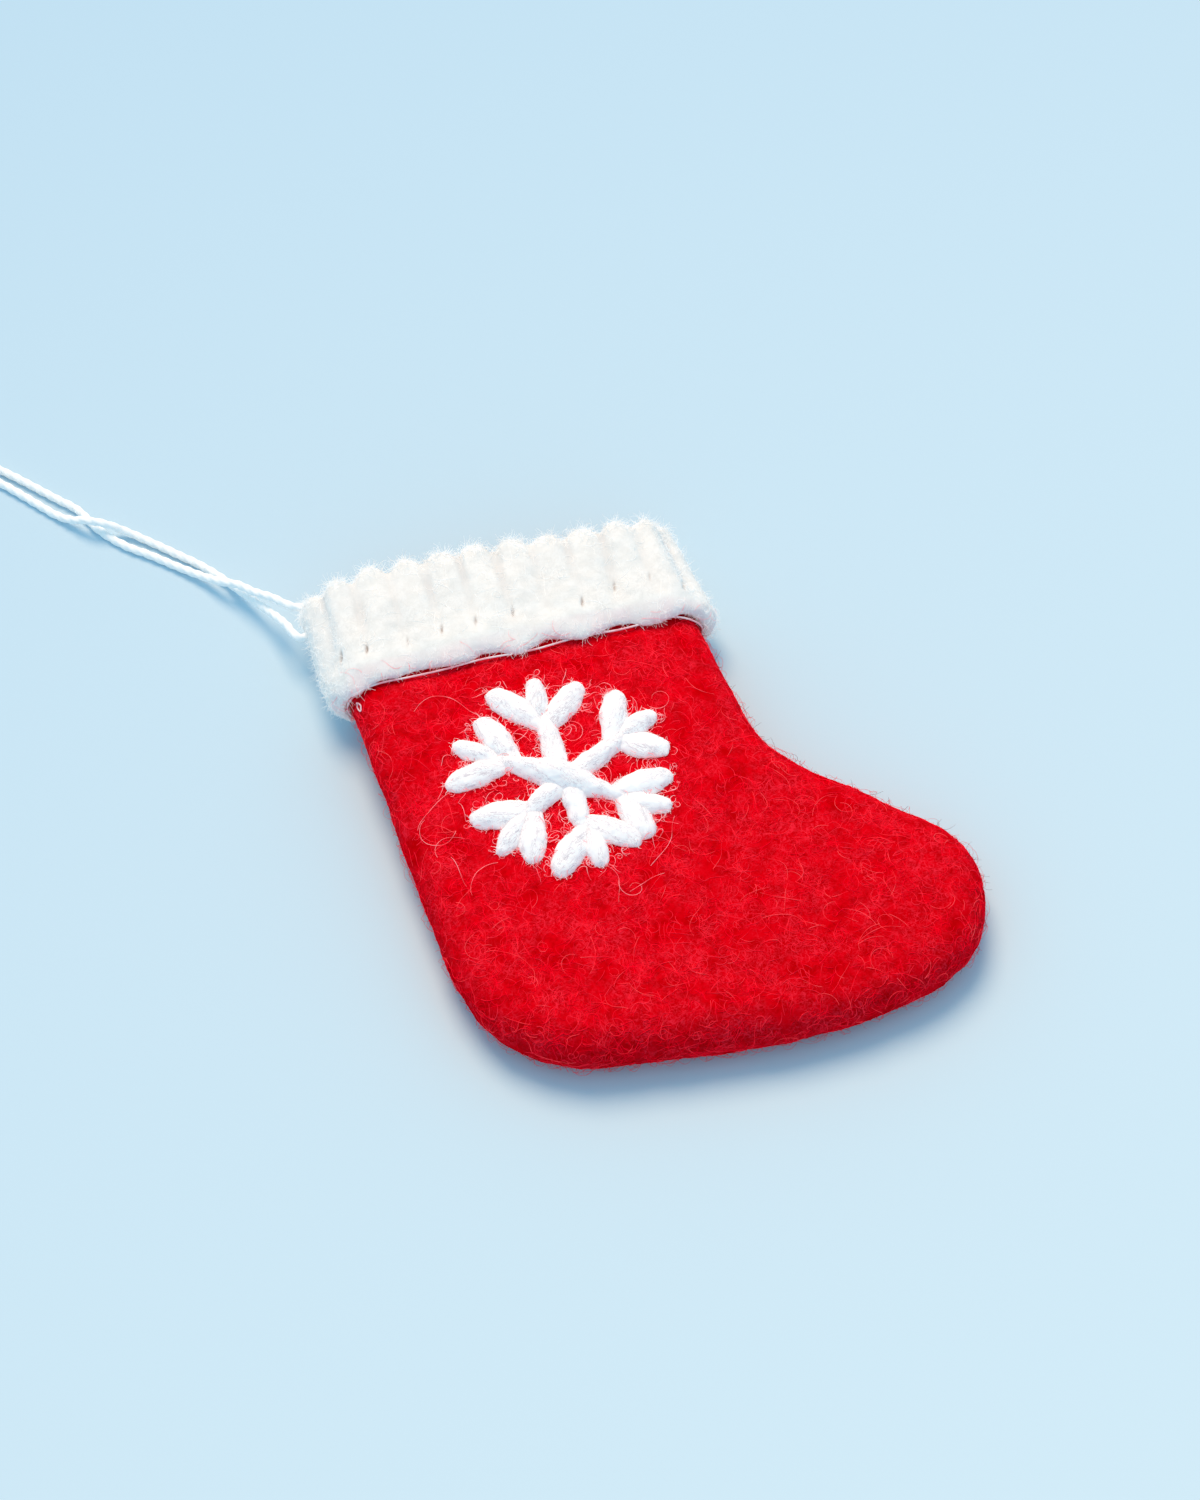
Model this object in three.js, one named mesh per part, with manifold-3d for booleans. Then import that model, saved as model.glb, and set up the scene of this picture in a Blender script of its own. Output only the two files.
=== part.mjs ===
// A wet-felted christmas stocking ornament, lying on its back as it does on a table.
// It is a flat pouch of red felt with an open mouth, a white felt cuff whipped to the
// pouch's rim with one long thread, a snowflake of thick yarn stitches on the front,
// and a doubled hanging cord that is knotted inside the pouch's upper corner. One of its
// strands comes out over the rim there, and the other through the felt of the edge.
//
// Millimetres, +Z up, +Y from the sole to the cuff, +X from the heel to the toe.
// The outline is drawn with its zero at the heel's corner. The finished group is then
// moved, so that the part stands with its zero under the middle of the felt's box.

import * as THREE from 'three';
import { mergeVertices } from 'three/addons/utils/BufferGeometryUtils.js';
import Module from 'manifold-3d';

// The pouch's outline: a leg, a heel, a sole, a toe and an ankle.
const rim_height = 89.7;          // from the heel's corner up to the pouch's rim
const rim_set_back = 7.2;         // how far the leg leans back past the heel's corner
const mouth_width = 58.3;         // across the flat pouch at the rim
const ankle_height = 46.1;        // the corner between the leg and the instep
const ankle_reach = 56.65;        // that corner, measured from the heel
const foot_length = 83.9;         // heel's corner to toe's corner
const toe_height = 21.4;          // the toe's two corners, one above the other
const sole_drop = 6.2;            // how far the sole's middle bows below the heel
const sole_low_share = 0.617;     // where along the foot the sole bows most
const heel_radius = 22.2;
const sole_radius = 90.7;
const toe_lower_radius = 18.8;
const toe_upper_radius = 15.1;
const ankle_radius = 23.2;

// The pouch's body: two layers of felt, rounded where they meet at the edge.
const felt_wall = 1.6;            // thickness of the red felt
const edge_round = 5.2;           // how far in from the outline the edge is rounded
const foot_half_thick = 5.2;      // half the pouch's thickness at the foot
const leg_half_thick = 4.3;       // half the pouch's thickness under the cuff
const crown = 0.8;                // extra height of the front at its middle
const crown_reach = 28;           // how far in from the outline the crown rises
const bend_start = 25;            // height where the leg starts to lift off the table
const level_run = 2;              // how far below the hem it is lifted all the way

// The cuff: a strip of white felt round the leg, level with the rim.
const cuff_wall = 2.2;            // thickness of the white felt between two stitches
const cuff_height = 18.0;         // from the hem up to the notch under each stitch
const cuff_rise = 0.4;            // how far the notches stand above the pouch's rim
const cuff_scallop = 1.5;         // how far the felt bulges up between two stitches
const groove_depth = 1.1;         // how far a stitch pulls the felt in
const stitch_reach = 13.0;        // length of one whip stitch, from its hole to the rim
const stitch_slant_share = 0.12;  // sideways step of a stitch, as a share of its length
const stitch_count = 22;
const first_stitch = 5.6;         // from the heel-side edge to the first needle hole
const last_stitch = 10.8;         // from the last needle hole back to that edge
const thread_radius = 0.25;
const needle_hole_radius = 0.7;
const hem_thread_radius = 0.2;

// The snowflake: laid stitches of thick yarn.
const flake_x = 24.0;             // the snowflake's middle, across from the heel's corner
const flake_drop = 25.8;          // and down from the cuff's hem
const flake_size = 20.0;          // from the middle to the tip of the longest prong
const stem_width = 3.2;
const prong_width = 4.2;
const middle_prong_width = 3.4;
const yarn_height = 2.5;
const long_stitch_height = 3.2;   // the stitch that passes over the middle

// The hanging cord.
const cord_radius = 0.75;
const cord_hole_drop = 2.9;       // the hole of one strand, measured down from the rim
const strand_drop = 1.1;          // where the other strand leaves the knot, below the rim
const strand_inset = 6.0;         // and where it crosses the rim, in from that edge
const knot_inset = 12.6;          // the knot's middle, in from the pouch's heel-side edge
const knot_drop = 5.0;            // and down from the rim
const knot_lift = 0.2;            // and towards the front, where the crown leaves room
const knot_lobe = 1.45;           // size of the knot's three lobes
const knot_rise = 1.08;           // how far the knot's turns pass over each other

// Clearances.
const seat_gap = 0.3;             // between two pieces that lie on each other
const overrun = 3;                // how far a cutting shape runs past what it cuts

// Colours, roughness and metalness.
const red_felt = { color: 0xc8071c, roughness: 0.97, metalness: 0 };
const white_felt = { color: 0xf3f2ec, roughness: 0.96, metalness: 0 };
const white_yarn = { color: 0xe9e6ee, roughness: 0.95, metalness: 0 };
const white_thread = { color: 0xf2e6e6, roughness: 0.85, metalness: 0 };
const white_cord = { color: 0xeef6fa, roughness: 0.75, metalness: 0 };

const wasm = await Module();
wasm.setup();

// Solids and shapes.

const lerp = THREE.MathUtils.lerp;
const clamp = THREE.MathUtils.clamp;
const smooth = (t) => THREE.MathUtils.smoothstep(t, 0, 1);

// A closed geometry as a solid that can be cut.
function solid(geometry) {
  const bare = geometry.clone();
  bare.deleteAttribute('normal');
  bare.deleteAttribute('uv');
  const merged = mergeVertices(bare, 1e-4);
  return new wasm.Manifold(new wasm.Mesh({
    numProp: 3,
    vertProperties: new Float32Array(merged.attributes.position.array),
    triVerts: new Uint32Array(merged.index.array),
  }));
}

// A cut solid as a geometry again. Crumbs that a cut leaves behind are dropped.
function geometryOf(cut) {
  const pieces = cut.decompose().sort((a, b) => b.volume() - a.volume());
  const mesh = pieces[0].getMesh();
  const geometry = new THREE.BufferGeometry();
  geometry.setAttribute('position', new THREE.BufferAttribute(mesh.vertProperties, 3));
  geometry.setIndex(new THREE.BufferAttribute(mesh.triVerts, 1));
  geometry.computeVertexNormals();
  return geometry;
}

// A grid of points as a surface: rows of equal length, closed across each row if asked.
function grid(rows, across) {
  const wide = rows[0].length;
  const faces = [];
  for (let i = 0; i + 1 < rows.length; i++) {
    for (let j = 0; j < (across ? wide : wide - 1); j++) {
      const a = i * wide + j, b = i * wide + (j + 1) % wide;
      faces.push([a, b, b + wide], [a, b + wide, a + wide]);
    }
  }
  return { points: rows.flat(), faces };
}

// Surfaces joined into one closed geometry, with faces of no area left out.
function closed(parts) {
  const position = [], index = [];
  for (const { points, faces } of parts) {
    const base = position.length / 3;
    for (const p of points) position.push(p.x, p.y, p.z);
    for (const f of faces) {
      const [a, b, c] = f.map((k) => points[k]);
      const flat = [[a, b], [b, c], [c, a]].some(([p, q]) => p.distanceTo(q) < 1e-4);
      if (!flat) index.push(...f.map((k) => k + base));
    }
  }
  const geometry = new THREE.BufferGeometry();
  geometry.setAttribute('position', new THREE.Float32BufferAttribute(position, 3));
  geometry.setIndex(index);
  return geometry;
}

// Rings of points, one after the other, as a closed body: a loft with two flat ends.
function loft(rings) {
  const wide = rings[0].length;
  const fan = Array.from({ length: wide - 2 }, (_, k) => [0, k + 2, k + 1]);
  const back = fan.map(([a, b, c]) => [a, c, b]);
  return closed([grid(rings, true), { points: rings[0], faces: fan },
    { points: rings[rings.length - 1], faces: back }]);
}

// A round tube through a list of points, its ring turned from point to point without twist.
function tube(path, radius, sides, ring_shut = false) {
  const count = path.length;
  const at = (k) => path[ring_shut ? (k + count) % count : clamp(k, 0, count - 1)];
  const along = path.map((_, k) => at(k + 1).clone().sub(at(k - 1)).normalize());
  let side = new THREE.Vector3(0, 0, 1);
  if (Math.abs(along[0].z) > 0.9) side = new THREE.Vector3(1, 0, 0);
  const rings = path.map((middle, k) => {
    side = side.clone().addScaledVector(along[k], -side.dot(along[k])).normalize();
    const other = along[k].clone().cross(side);
    return Array.from({ length: sides }, (_, s) => {
      const turn = s / sides * 2 * Math.PI;
      return middle.clone().addScaledVector(side, radius * Math.cos(turn))
        .addScaledVector(other, radius * Math.sin(turn));
    });
  });
  if (!ring_shut) return loft(rings);
  // The last ring is joined to the first, turned by whole sides so that they match.
  const last = rings[count - 1];
  let best = 0;
  for (let s = 1; s < sides; s++) {
    if (last[s].distanceTo(rings[0][0]) < last[best].distanceTo(rings[0][0])) best = s;
  }
  const first = rings[0].map((_, s) => rings[0][(s - best + sides) % sides]);
  return closed([grid([...rings, first], true)]);
}

// The outline, from the rim down the heel side, round the foot and up to the rim again.

const rim_front = mouth_width - rim_set_back;
const corners = [
  [-rim_set_back, rim_height, 0],
  [0, 0, heel_radius],
  [foot_length * sole_low_share, -sole_drop, sole_radius],
  [foot_length, 0, toe_lower_radius],
  [foot_length, toe_height, toe_upper_radius],
  [ankle_reach, ankle_height, ankle_radius],
  [rim_front, rim_height, 0],
].map(([x, y, round]) => ({ p: new THREE.Vector2(x, y), round }));

const outline = new THREE.Path();
const bends = [];                 // where each rounded corner starts and ends, along it
outline.moveTo(corners[0].p.x, corners[0].p.y);
for (let k = 1; k + 1 < corners.length; k++) {
  const { p, round } = corners[k];
  const into = p.clone().sub(corners[k - 1].p).normalize();
  const out = corners[k + 1].p.clone().sub(p).normalize();
  const turn = Math.atan2(into.cross(out), into.dot(out));
  const cut = round * Math.tan(Math.abs(turn) / 2);
  const from = p.clone().addScaledVector(into, -cut);
  const hand = Math.sign(turn);
  const middle = from.clone().add(new THREE.Vector2(-into.y, into.x).multiplyScalar(round * hand));
  const start = Math.atan2(from.y - middle.y, from.x - middle.x);
  outline.lineTo(from.x, from.y);
  const before = outline.curves.reduce((sum, c) => sum + c.getLength(), 0);
  outline.absarc(middle.x, middle.y, round, start, start + turn, turn < 0);
  bends.push([before, before + round * Math.abs(turn)]);
}
outline.lineTo(rim_front, rim_height);
outline.updateArcLengths();
const around = outline.getLength();

// A point of the outline, set in from it, and run on straight past the rim at its two ends.
function edge(length, inset = 0) {
  const share = clamp(length / around, 0, 1);
  const p = outline.getPoint(share);
  const t = outline.getTangent(clamp(share, 1e-4, 1 - 1e-4)).normalize();
  p.addScaledVector(t, length - share * around);
  return p.add(new THREE.Vector2(-t.y, t.x).multiplyScalar(inset));
}

// How far a point lies inside the outline.
const edge_points = Array.from({ length: 241 }, (_, k) => edge(around * k / 240));
function depthInside(x, y) {
  let best = Infinity;
  for (let k = 0; k + 1 < edge_points.length; k++) {
    const a = edge_points[k], b = edge_points[k + 1];
    const dx = b.x - a.x, dy = b.y - a.y;
    let t = ((x - a.x) * dx + (y - a.y) * dy) / (dx * dx + dy * dy);
    if (k > 0) t = Math.max(t, 0);
    if (k + 2 < edge_points.length) t = Math.min(t, 1);
    best = Math.min(best, Math.hypot(x - a.x - t * dx, y - a.y - t * dy));
  }
  return best;
}

// Heights up the leg: the notches, the needle holes, the hem and the snowflake's middle.
const notch_height = rim_height + cuff_rise;
const crest_height = notch_height + cuff_scallop;
const hole_height = notch_height - stitch_reach;
const hem_height = notch_height - cuff_height;
const flake_y = hem_height - flake_drop;

// The leg lies on the cuff's back, so it is lifted off the table by the cuff's thickness.
const cuff_build = seat_gap + cuff_wall;
const bend_end = hem_height - level_run;
const bend = (y) => smooth((y - bend_start) / (bend_end - bend_start));
const half = (y) => lerp(foot_half_thick, leg_half_thick, bend(y));
const middle = (y) => half(y) + cuff_build * bend(y);
const swell = (d, round) => Math.sqrt(1 - (1 - clamp(d / round, 0, 1)) ** 2);
const dome = (d) => crown * (1 - (1 - clamp(d / crown_reach, 0, 1)) ** 2);

// Height of the pouch's front and back, at a depth inside the outline, for a skin set in.
const front = (y, d, inset = 0) =>
  middle(y) + (half(y) - inset + dome(d)) * swell(d - inset, edge_round - inset);
const back = (y, d, inset = 0) =>
  middle(y) - (half(y) - inset) * swell(d - inset, edge_round - inset);

// The pouch as a pillow: lines drawn across it from the heel side to the ankle side,
// from the rim down to the toe, each lifted to the front and dropped to the back.
const sole_turn_share = 0.15;
const outer_net = { leg: 6, ankle: 12, toe_shares: [0, 0.18, 0.36, 0.54, 0.7, 0.83, 0.92, 0.975, 1],
  across_shares: [0, 0.007, 0.028, 0.06, 0.1, 0.2, 0.35, 0.5] };
const inner_net = { leg: 4, ankle: 6, toe_shares: [0, 0.4, 0.75, 0.92, 1],
  across_shares: [0, 0.006, 0.02, 0.042, 0.085, 0.22, 0.5] };
function pillow(inset, past_rim, { leg, ankle, toe_shares, across_shares }) {
  const [, heel_end] = bends[0];
  const [toe_low_start, toe_low_end] = bends[2];
  const [toe_up_start, toe_up_end] = bends[3];
  const [ankle_start, ankle_end] = bends[4];
  const leg_drop = rim_height - edge(ankle_end).y;
  const heel_lean = Math.hypot(rim_set_back, rim_height) / rim_height;
  const keys = [
    [-past_rim, around + past_rim],
    [leg_drop * heel_lean, ankle_end],
    [lerp(heel_end, toe_low_start, sole_turn_share), ankle_start],
    [(toe_low_start + toe_low_end) / 2, (toe_up_start + toe_up_end) / 2],
  ];
  const even = (steps) => Array.from({ length: steps + 1 }, (_, k) => k / steps);
  const runs = [even(leg), even(ankle), toe_shares];
  const lines = [];
  runs.forEach((shares, r) => shares.forEach((share, n) => {
    if (r > 0 && n === 0) return;
    lines.push({ heel: lerp(keys[r][0], keys[r + 1][0], share),
      ankle: lerp(keys[r][1], keys[r + 1][1], share), toe: r === 2 ? share ** 2 : 0 });
  }));
  const shares = [...across_shares, ...across_shares.slice(0, -1).reverse().map((s) => 1 - s)];
  const tip = lines[lines.length - 1];
  const sheet = (height) => lines.map((line, n) => shares.map((share, j) => {
    const p = edge(line.heel, inset).lerp(edge(line.ankle, inset), share);
    const bow = edge(lerp(tip.heel, tip.ankle, share), inset)
      .sub(edge(tip.heel, inset).lerp(edge(tip.ankle, inset), share));
    p.addScaledVector(bow, line.toe);
    const on_edge = j === 0 || j === shares.length - 1 || n === lines.length - 1;
    const d = on_edge ? inset : Math.max(depthInside(p.x, p.y), inset);
    return new THREE.Vector3(p.x, p.y, height(p.y, d, inset));
  }));
  const top = sheet(front), under = sheet(back);
  return closed([grid(top.map((row) => row.slice().reverse()), false), grid(under, false),
    grid([top[0], under[0]], false)]);
}

// The leg's section where the cuff sits, set off from the pouch's skin, as a closed line
// that starts at the heel-side edge and goes over the front first.
function section(y, off) {
  const left = -rim_set_back * y / rim_height;
  const right = lerp(ankle_reach, rim_front, (y - ankle_height) / (rim_height - ankle_height));
  const wide = right - left;
  const quarter = Array.from({ length: 13 }, (_, k) => edge_round * (1 - Math.cos(k / 24 * Math.PI)));
  const inner = Array.from({ length: 11 }, (_, k) => lerp(edge_round, wide - edge_round, (k + 1) / 12));
  const steps = [...quarter, ...inner, ...quarter.map((q) => wide - q).reverse()];
  const depth = (s) => Math.min(s, wide - s);
  const line = steps.map((s) => [left + s, front(y, depth(s))]);
  steps.slice(1, -1).reverse().forEach((s) => line.push([left + s, back(y, depth(s))]));
  return line.map(([x, z], k) => {
    const [px, pz] = line[(k + line.length - 1) % line.length];
    const [nx, nz] = line[(k + 1) % line.length];
    const size = Math.hypot(nx - px, nz - pz);
    return { x: x - (nz - pz) / size * off, z: z + (nx - px) / size * off,
      nx: -(nz - pz) / size, nz: (nx - px) / size };
  });
}

// A point on the leg: a share of the way round it, a height, and a distance off its skin.
const sections = new Map();
function legPoint(share, y, off) {
  if (!sections.has(y)) {
    const line = section(y, cuff_build);
    const sums = [0];
    for (let k = 0; k < line.length; k++) {
      const a = line[k], b = line[(k + 1) % line.length];
      sums.push(sums[k] + Math.hypot(b.x - a.x, b.z - a.z));
    }
    sections.set(y, { line, sums });
  }
  const { line, sums } = sections.get(y);
  const total = sums[line.length];
  const length = (share - Math.floor(share)) * total;
  let k = 0;
  while (sums[k + 1] < length) k++;
  const a = line[k], b = line[(k + 1) % line.length];
  const t = (length - sums[k]) / (sums[k + 1] - sums[k]);
  const inward = off - cuff_build;
  return new THREE.Vector3(lerp(a.x, b.x, t) + lerp(a.nx, b.nx, t) * inward, y,
    lerp(a.z, b.z, t) + lerp(a.nz, b.nz, t) * inward);
}

// The whip stitches: where each one starts, and how it leans.
legPoint(0, hole_height, 0);
const round_leg = sections.get(hole_height).sums.at(-1);
const stitch_pitch = (round_leg - first_stitch - last_stitch) / (stitch_count - 1);
const lean = (share, y) => share + stitch_slant_share * (y - hole_height) / round_leg;
const stitchShare = (k) => (first_stitch + k * stitch_pitch) / round_leg;

// The cuff's columns: five to a stitch, the first of them in the groove that the stitch
// pulls, and plain ones across the heel-side edge, where the cord comes out.
const pull_shares = [1, 0.4, 0, 0, 0.4];
const edge_columns = 6;
const columns = [];
for (let k = 0; k < stitch_count; k++) {
  pull_shares.forEach((pull, q) => {
    columns.push({ share: stitchShare(k + q / pull_shares.length), pull });
  });
}
const last_share = columns.at(-1).share;
for (let k = 1; k <= edge_columns; k++) {
  columns.push({ share: lerp(last_share, 1 + stitchShare(0), k / (edge_columns + 1)),
    pull: k === edge_columns ? 0.4 : 0 });
}

// One column of the cuff, from the hem up the outside, over the top and down the inside.
// Each place is a share of the felt's thickness there.
function cuffRow(thick, low, high) {
  return [
    [0.3 * cuff_wall, low],
    [cuff_wall, low + 0.5 * cuff_wall],
    [cuff_wall, hole_height - 0.65 * cuff_wall],
    [thick, hole_height - 0.35 * cuff_wall],
    [thick, high - 0.75 * thick],
    [0.6 * thick, high],
    [0, high - 0.3 * thick],
    [0, (hole_height + notch_height) / 2],
    [0, low + 0.2 * cuff_wall],
  ];
}
const cuff_rows = columns.map(({ share, pull }) => {
  const thick = cuff_wall - groove_depth * pull;
  const high = notch_height + cuff_scallop * (1 - pull);
  return cuffRow(thick, hem_height, high).map(([off, y]) =>
    legPoint(lean(share, y), y, seat_gap + off));
});
const cuff_plain = closed([grid([cuff_rows[0], ...cuff_rows.reverse()], true)]);

// A straight round hole through the felt, across it, at a place on the leg.
function felt_hole(share, y, radius, sides) {
  const from = legPoint(share, y, -felt_wall - overrun / 3);
  const to = legPoint(share, y, cuff_build + overrun);
  const hole = new THREE.CylinderGeometry(radius, radius, from.distanceTo(to), sides);
  hole.applyQuaternion(new THREE.Quaternion().setFromUnitVectors(
    new THREE.Vector3(0, 1, 0), to.clone().sub(from).normalize()));
  const half_way = from.lerp(to, 1 / 2);
  hole.translate(half_way.x, half_way.y, half_way.z);
  return solid(hole);
}
const cord_hole_height = rim_height - cord_hole_drop;
const holes = [felt_hole(0, cord_hole_height, cord_radius + seat_gap, 8)];
for (let k = 0; k < stitch_count; k++) {
  holes.push(felt_hole(stitchShare(k), hole_height, needle_hole_radius, 6));
}
const all_holes = wasm.Manifold.union(holes);

// The pouch and the cuff, hollowed and pierced.
const stocking_body = geometryOf(
  solid(pillow(0, 0, outer_net)).subtract(solid(pillow(felt_wall, overrun, inner_net)))
    .subtract(all_holes));
const cuff = geometryOf(solid(cuff_plain).subtract(all_holes));

// The whip stitch: one thread that comes out of each hole, climbs the cuff in its groove,
// goes over the rim and runs down inside the pouch to the next hole.
const thread_clear = seat_gap + thread_radius;
const outside = seat_gap + cuff_wall - groove_depth + thread_clear;
const inside = -felt_wall - thread_clear;
const turn_size = 2 * thread_radius;
const whip_path = [];
for (let k = 0; k < stitch_count; k++) {
  const hole = stitchShare(k);
  const lay = (y, off) => legPoint(lean(hole, y), y, off);
  const top = lean(hole, notch_height);
  whip_path.push(legPoint(hole, hole_height, inside + turn_size));
  whip_path.push(legPoint(hole, hole_height, outside - turn_size));
  whip_path.push(lay(hole_height + turn_size, outside));
  whip_path.push(lay((hole_height + notch_height) / 2, outside));
  whip_path.push(lay(notch_height - turn_size / 2, outside));
  whip_path.push(legPoint(top, notch_height + thread_clear + seat_gap, outside - 2 * turn_size));
  whip_path.push(legPoint(top, rim_height + thread_clear + turn_size / 2, inside + turn_size));
  whip_path.push(legPoint(top, rim_height, inside));
  const next = k + 1 < stitch_count ? stitchShare(k + 1) : top;
  whip_path.push(legPoint(lerp(top, next, 1 / 2), (hole_height + rim_height) / 2, inside));
  if (next !== top) whip_path.push(legPoint(next, hole_height + turn_size, inside));
}
whip_path.unshift(legPoint(stitchShare(0), hole_height + turn_size, inside));

// The thread that holds the hem, laid round the leg just under it.
const hem_steps = 64;
const hem_path = Array.from({ length: hem_steps }, (_, k) => legPoint(k / hem_steps,
  hem_height - seat_gap - hem_thread_radius, seat_gap + hem_thread_radius));

// The snowflake's stitches. Each runs from its root to its tip, both given across and up
// from the snowflake's middle, as shares of the snowflake's size.
const stitch_table_shares = {
  snowflake_long_stitch: [-0.464, 0.274, 0.379, -0.288],
  snowflake_stem_1: [-0.034, 0.159, -0.029, 0.545],
  snowflake_stem_2: [0.136, 0.038, 0.51, 0.224],
  snowflake_stem_4: [0.013, -0.19, 0.008, -0.44],
  snowflake_stem_5: [-0.14, -0.112, -0.345, -0.235],
  snowflake_prong_1_middle: [-0.055, 0.64, -0.016, 0.976],
  snowflake_prong_1_left: [-0.098, 0.537, -0.407, 0.945],
  snowflake_prong_1_right: [0.007, 0.509, 0.346, 0.83],
  snowflake_prong_2_middle: [0.564, 0.274, 0.863, 0.403],
  snowflake_prong_2_left: [0.443, 0.239, 0.606, 0.693],
  snowflake_prong_2_right: [0.537, 0.176, 0.889, 0.044],
  snowflake_prong_3_middle: [0.473, -0.35, 0.76, -0.501],
  snowflake_prong_3_upper: [0.384, -0.215, 0.843, -0.207],
  snowflake_prong_3_lower: [0.385, -0.383, 0.535, -0.717],
  snowflake_prong_4_middle: [0.063, -0.591, 0.075, -0.895],
  snowflake_prong_4_left: [-0.011, -0.516, -0.29, -0.896],
  snowflake_prong_4_right: [0.085, -0.45, 0.423, -0.76],
  snowflake_prong_5_middle: [-0.448, -0.307, -0.686, -0.573],
  snowflake_prong_5_left: [-0.409, -0.188, -0.848, -0.228],
  snowflake_prong_5_right: [-0.33, -0.302, -0.474, -0.711],
  snowflake_prong_6_middle: [-0.57, 0.359, -0.814, 0.519],
  snowflake_prong_6_upper: [-0.358, 0.322, -0.569, 0.711],
  snowflake_prong_6_lower: [-0.478, 0.222, -0.955, 0.163],
};
// One stitch as a loft of seven-sided rings that lie on the felt, fat in the middle and
// drawn in where the yarn dips into the felt. Spare makes the shape larger on all sides.
const ring_shares = [[-0.3, 0], [-0.5, 0.35], [-0.36, 0.82], [0, 1], [0.36, 0.82], [0.5, 0.35],
  [0.3, 0]];
const along_shares = [0, 0.07, 0.3, 0.65, 0.92, 1];
const width_shares = [0.45, 0.78, 1, 1, 0.75, 0.4];
const height_shares = [0.45, 0.82, 1, 1, 0.75, 0.4];
function yarnStitch([x0, y0, x1, y1], width, height, spare) {
  const from = new THREE.Vector2(flake_x + x0 * flake_size, flake_y + y0 * flake_size);
  const to = new THREE.Vector2(flake_x + x1 * flake_size, flake_y + y1 * flake_size);
  const along = to.clone().sub(from).normalize();
  from.addScaledVector(along, -spare);
  to.addScaledVector(along, spare);
  const side = new THREE.Vector2(along.y, -along.x);
  return loft(along_shares.map((share, k) => ring_shares.map(([across, up]) => {
    const p = from.clone().lerp(to, share)
      .addScaledVector(side, across * (width * width_shares[k] + 2 * spare));
    const skin = front(p.y, depthInside(p.x, p.y)) + seat_gap - spare;
    return new THREE.Vector3(p.x, p.y, skin + up * (height * height_shares[k] + 2 * spare));
  })));
}
const stitches = {};
const laid = [];
for (const [name, run] of Object.entries(stitch_table_shares)) {
  const long = name === 'snowflake_long_stitch';
  let width = name.includes('middle') ? middle_prong_width : prong_width;
  if (long || name.includes('stem')) width = stem_width;
  const height = long ? long_stitch_height : yarn_height;
  let piece = solid(yarnStitch(run, width, height, 0));
  for (const other of laid) piece = piece.subtract(other);
  laid.push(solid(yarnStitch(run, width, height, seat_gap)));
  stitches[name] = geometryOf(piece);
}

// The hanging cord: from the knot out over the rim, over the table to the far end of the
// loop, and back in through the hole in the felt.
const knot_x = knot_inset - rim_set_back;
const knot_y = rim_height - knot_drop;
const cord_z = middle(rim_height);
const cord_run = [
  [-13.5, 96.5, 6.3], [-16.0, 99.3, 5.0], [-18.1, 101.9, 4.2], [-20.7, 104.2, 3.0],
  [-23.2, 106.9, 1.7], [-27.1, 110.7, 0.85], [-31.2, 114.4, 0.8], [-34.6, 117.2, 0.8],
  [-38.6, 122.0, 0.8], [-41.2, 126.9, 0.8], [-44.0, 129.9, 0.8], [-49.9, 136.2, 0.8],
  [-53.2, 139.6, 0.8], [-61.0, 149.4, 0.8], [-69.1, 160.6, 0.8], [-72.6, 163.2, 0.8],
  [-76.2, 161.7, 0.8], [-76.0, 156.3, 0.8], [-66.0, 147.0, 0.8], [-53.2, 136.2, 0.8],
  [-50.1, 132.8, 0.8], [-47.3, 129.5, 0.8], [-44.6, 126.4, 0.85], [-42.4, 124.3, 1.7],
  [-40.2, 122.7, 2.9], [-37.2, 121.1, 2.9], [-34.2, 119.9, 1.4], [-30.6, 117.1, 0.8],
  [-26.4, 113.1, 0.8], [-22.5, 109.2, 0.8], [-20.0, 105.9, 1.0], [-17.7, 101.9, 2.0],
  [-15.6, 98.0, 3.1], [-13.8, 94.4, 4.5], [-12.3, 90.8, 5.9],
];
const hole_inner = -rim_set_back + felt_wall;
const cuff_face = -rim_set_back - cuff_build;
const cord_turn = cuff_face - cord_radius;
const over_rim = crest_height + seat_gap + cord_radius;
const knot_side = 3 * knot_lobe + cord_radius;
const strand_end = (height) => knot_x - seat_gap
  - Math.sqrt(knot_side ** 2 - (height - knot_y) ** 2);
const strand_height = rim_height - strand_drop;
const cord_points = [
  [strand_end(strand_height), strand_height, cord_z],
  [strand_inset - rim_set_back, rim_height + cuff_scallop, cord_z],
  [hole_inner, over_rim, cord_z],
  [cuff_face, over_rim + cord_radius / 2, cord_z],
  ...cord_run,
  ...[cord_turn, cuff_face, hole_inner, strand_end(cord_hole_height)]
    .map((x) => [x, cord_hole_height, cord_z]),
].map(([x, y, z]) => new THREE.Vector3(x, y, z));
const cord_curve = new THREE.CatmullRomCurve3(cord_points, false, 'centripetal');
const cord_sides = 8, cord_steps = 80;
const cord_section = new THREE.Shape(Array.from({ length: cord_sides }, (_, k) =>
  new THREE.Vector2(cord_radius * Math.cos((k + 1 / 2) / cord_sides * 2 * Math.PI),
    cord_radius * Math.sin((k + 1 / 2) / cord_sides * 2 * Math.PI))));
const hanging_cord = new THREE.ExtrudeGeometry(cord_section,
  { steps: cord_steps, bevelEnabled: false, extrudePath: cord_curve });

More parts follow.
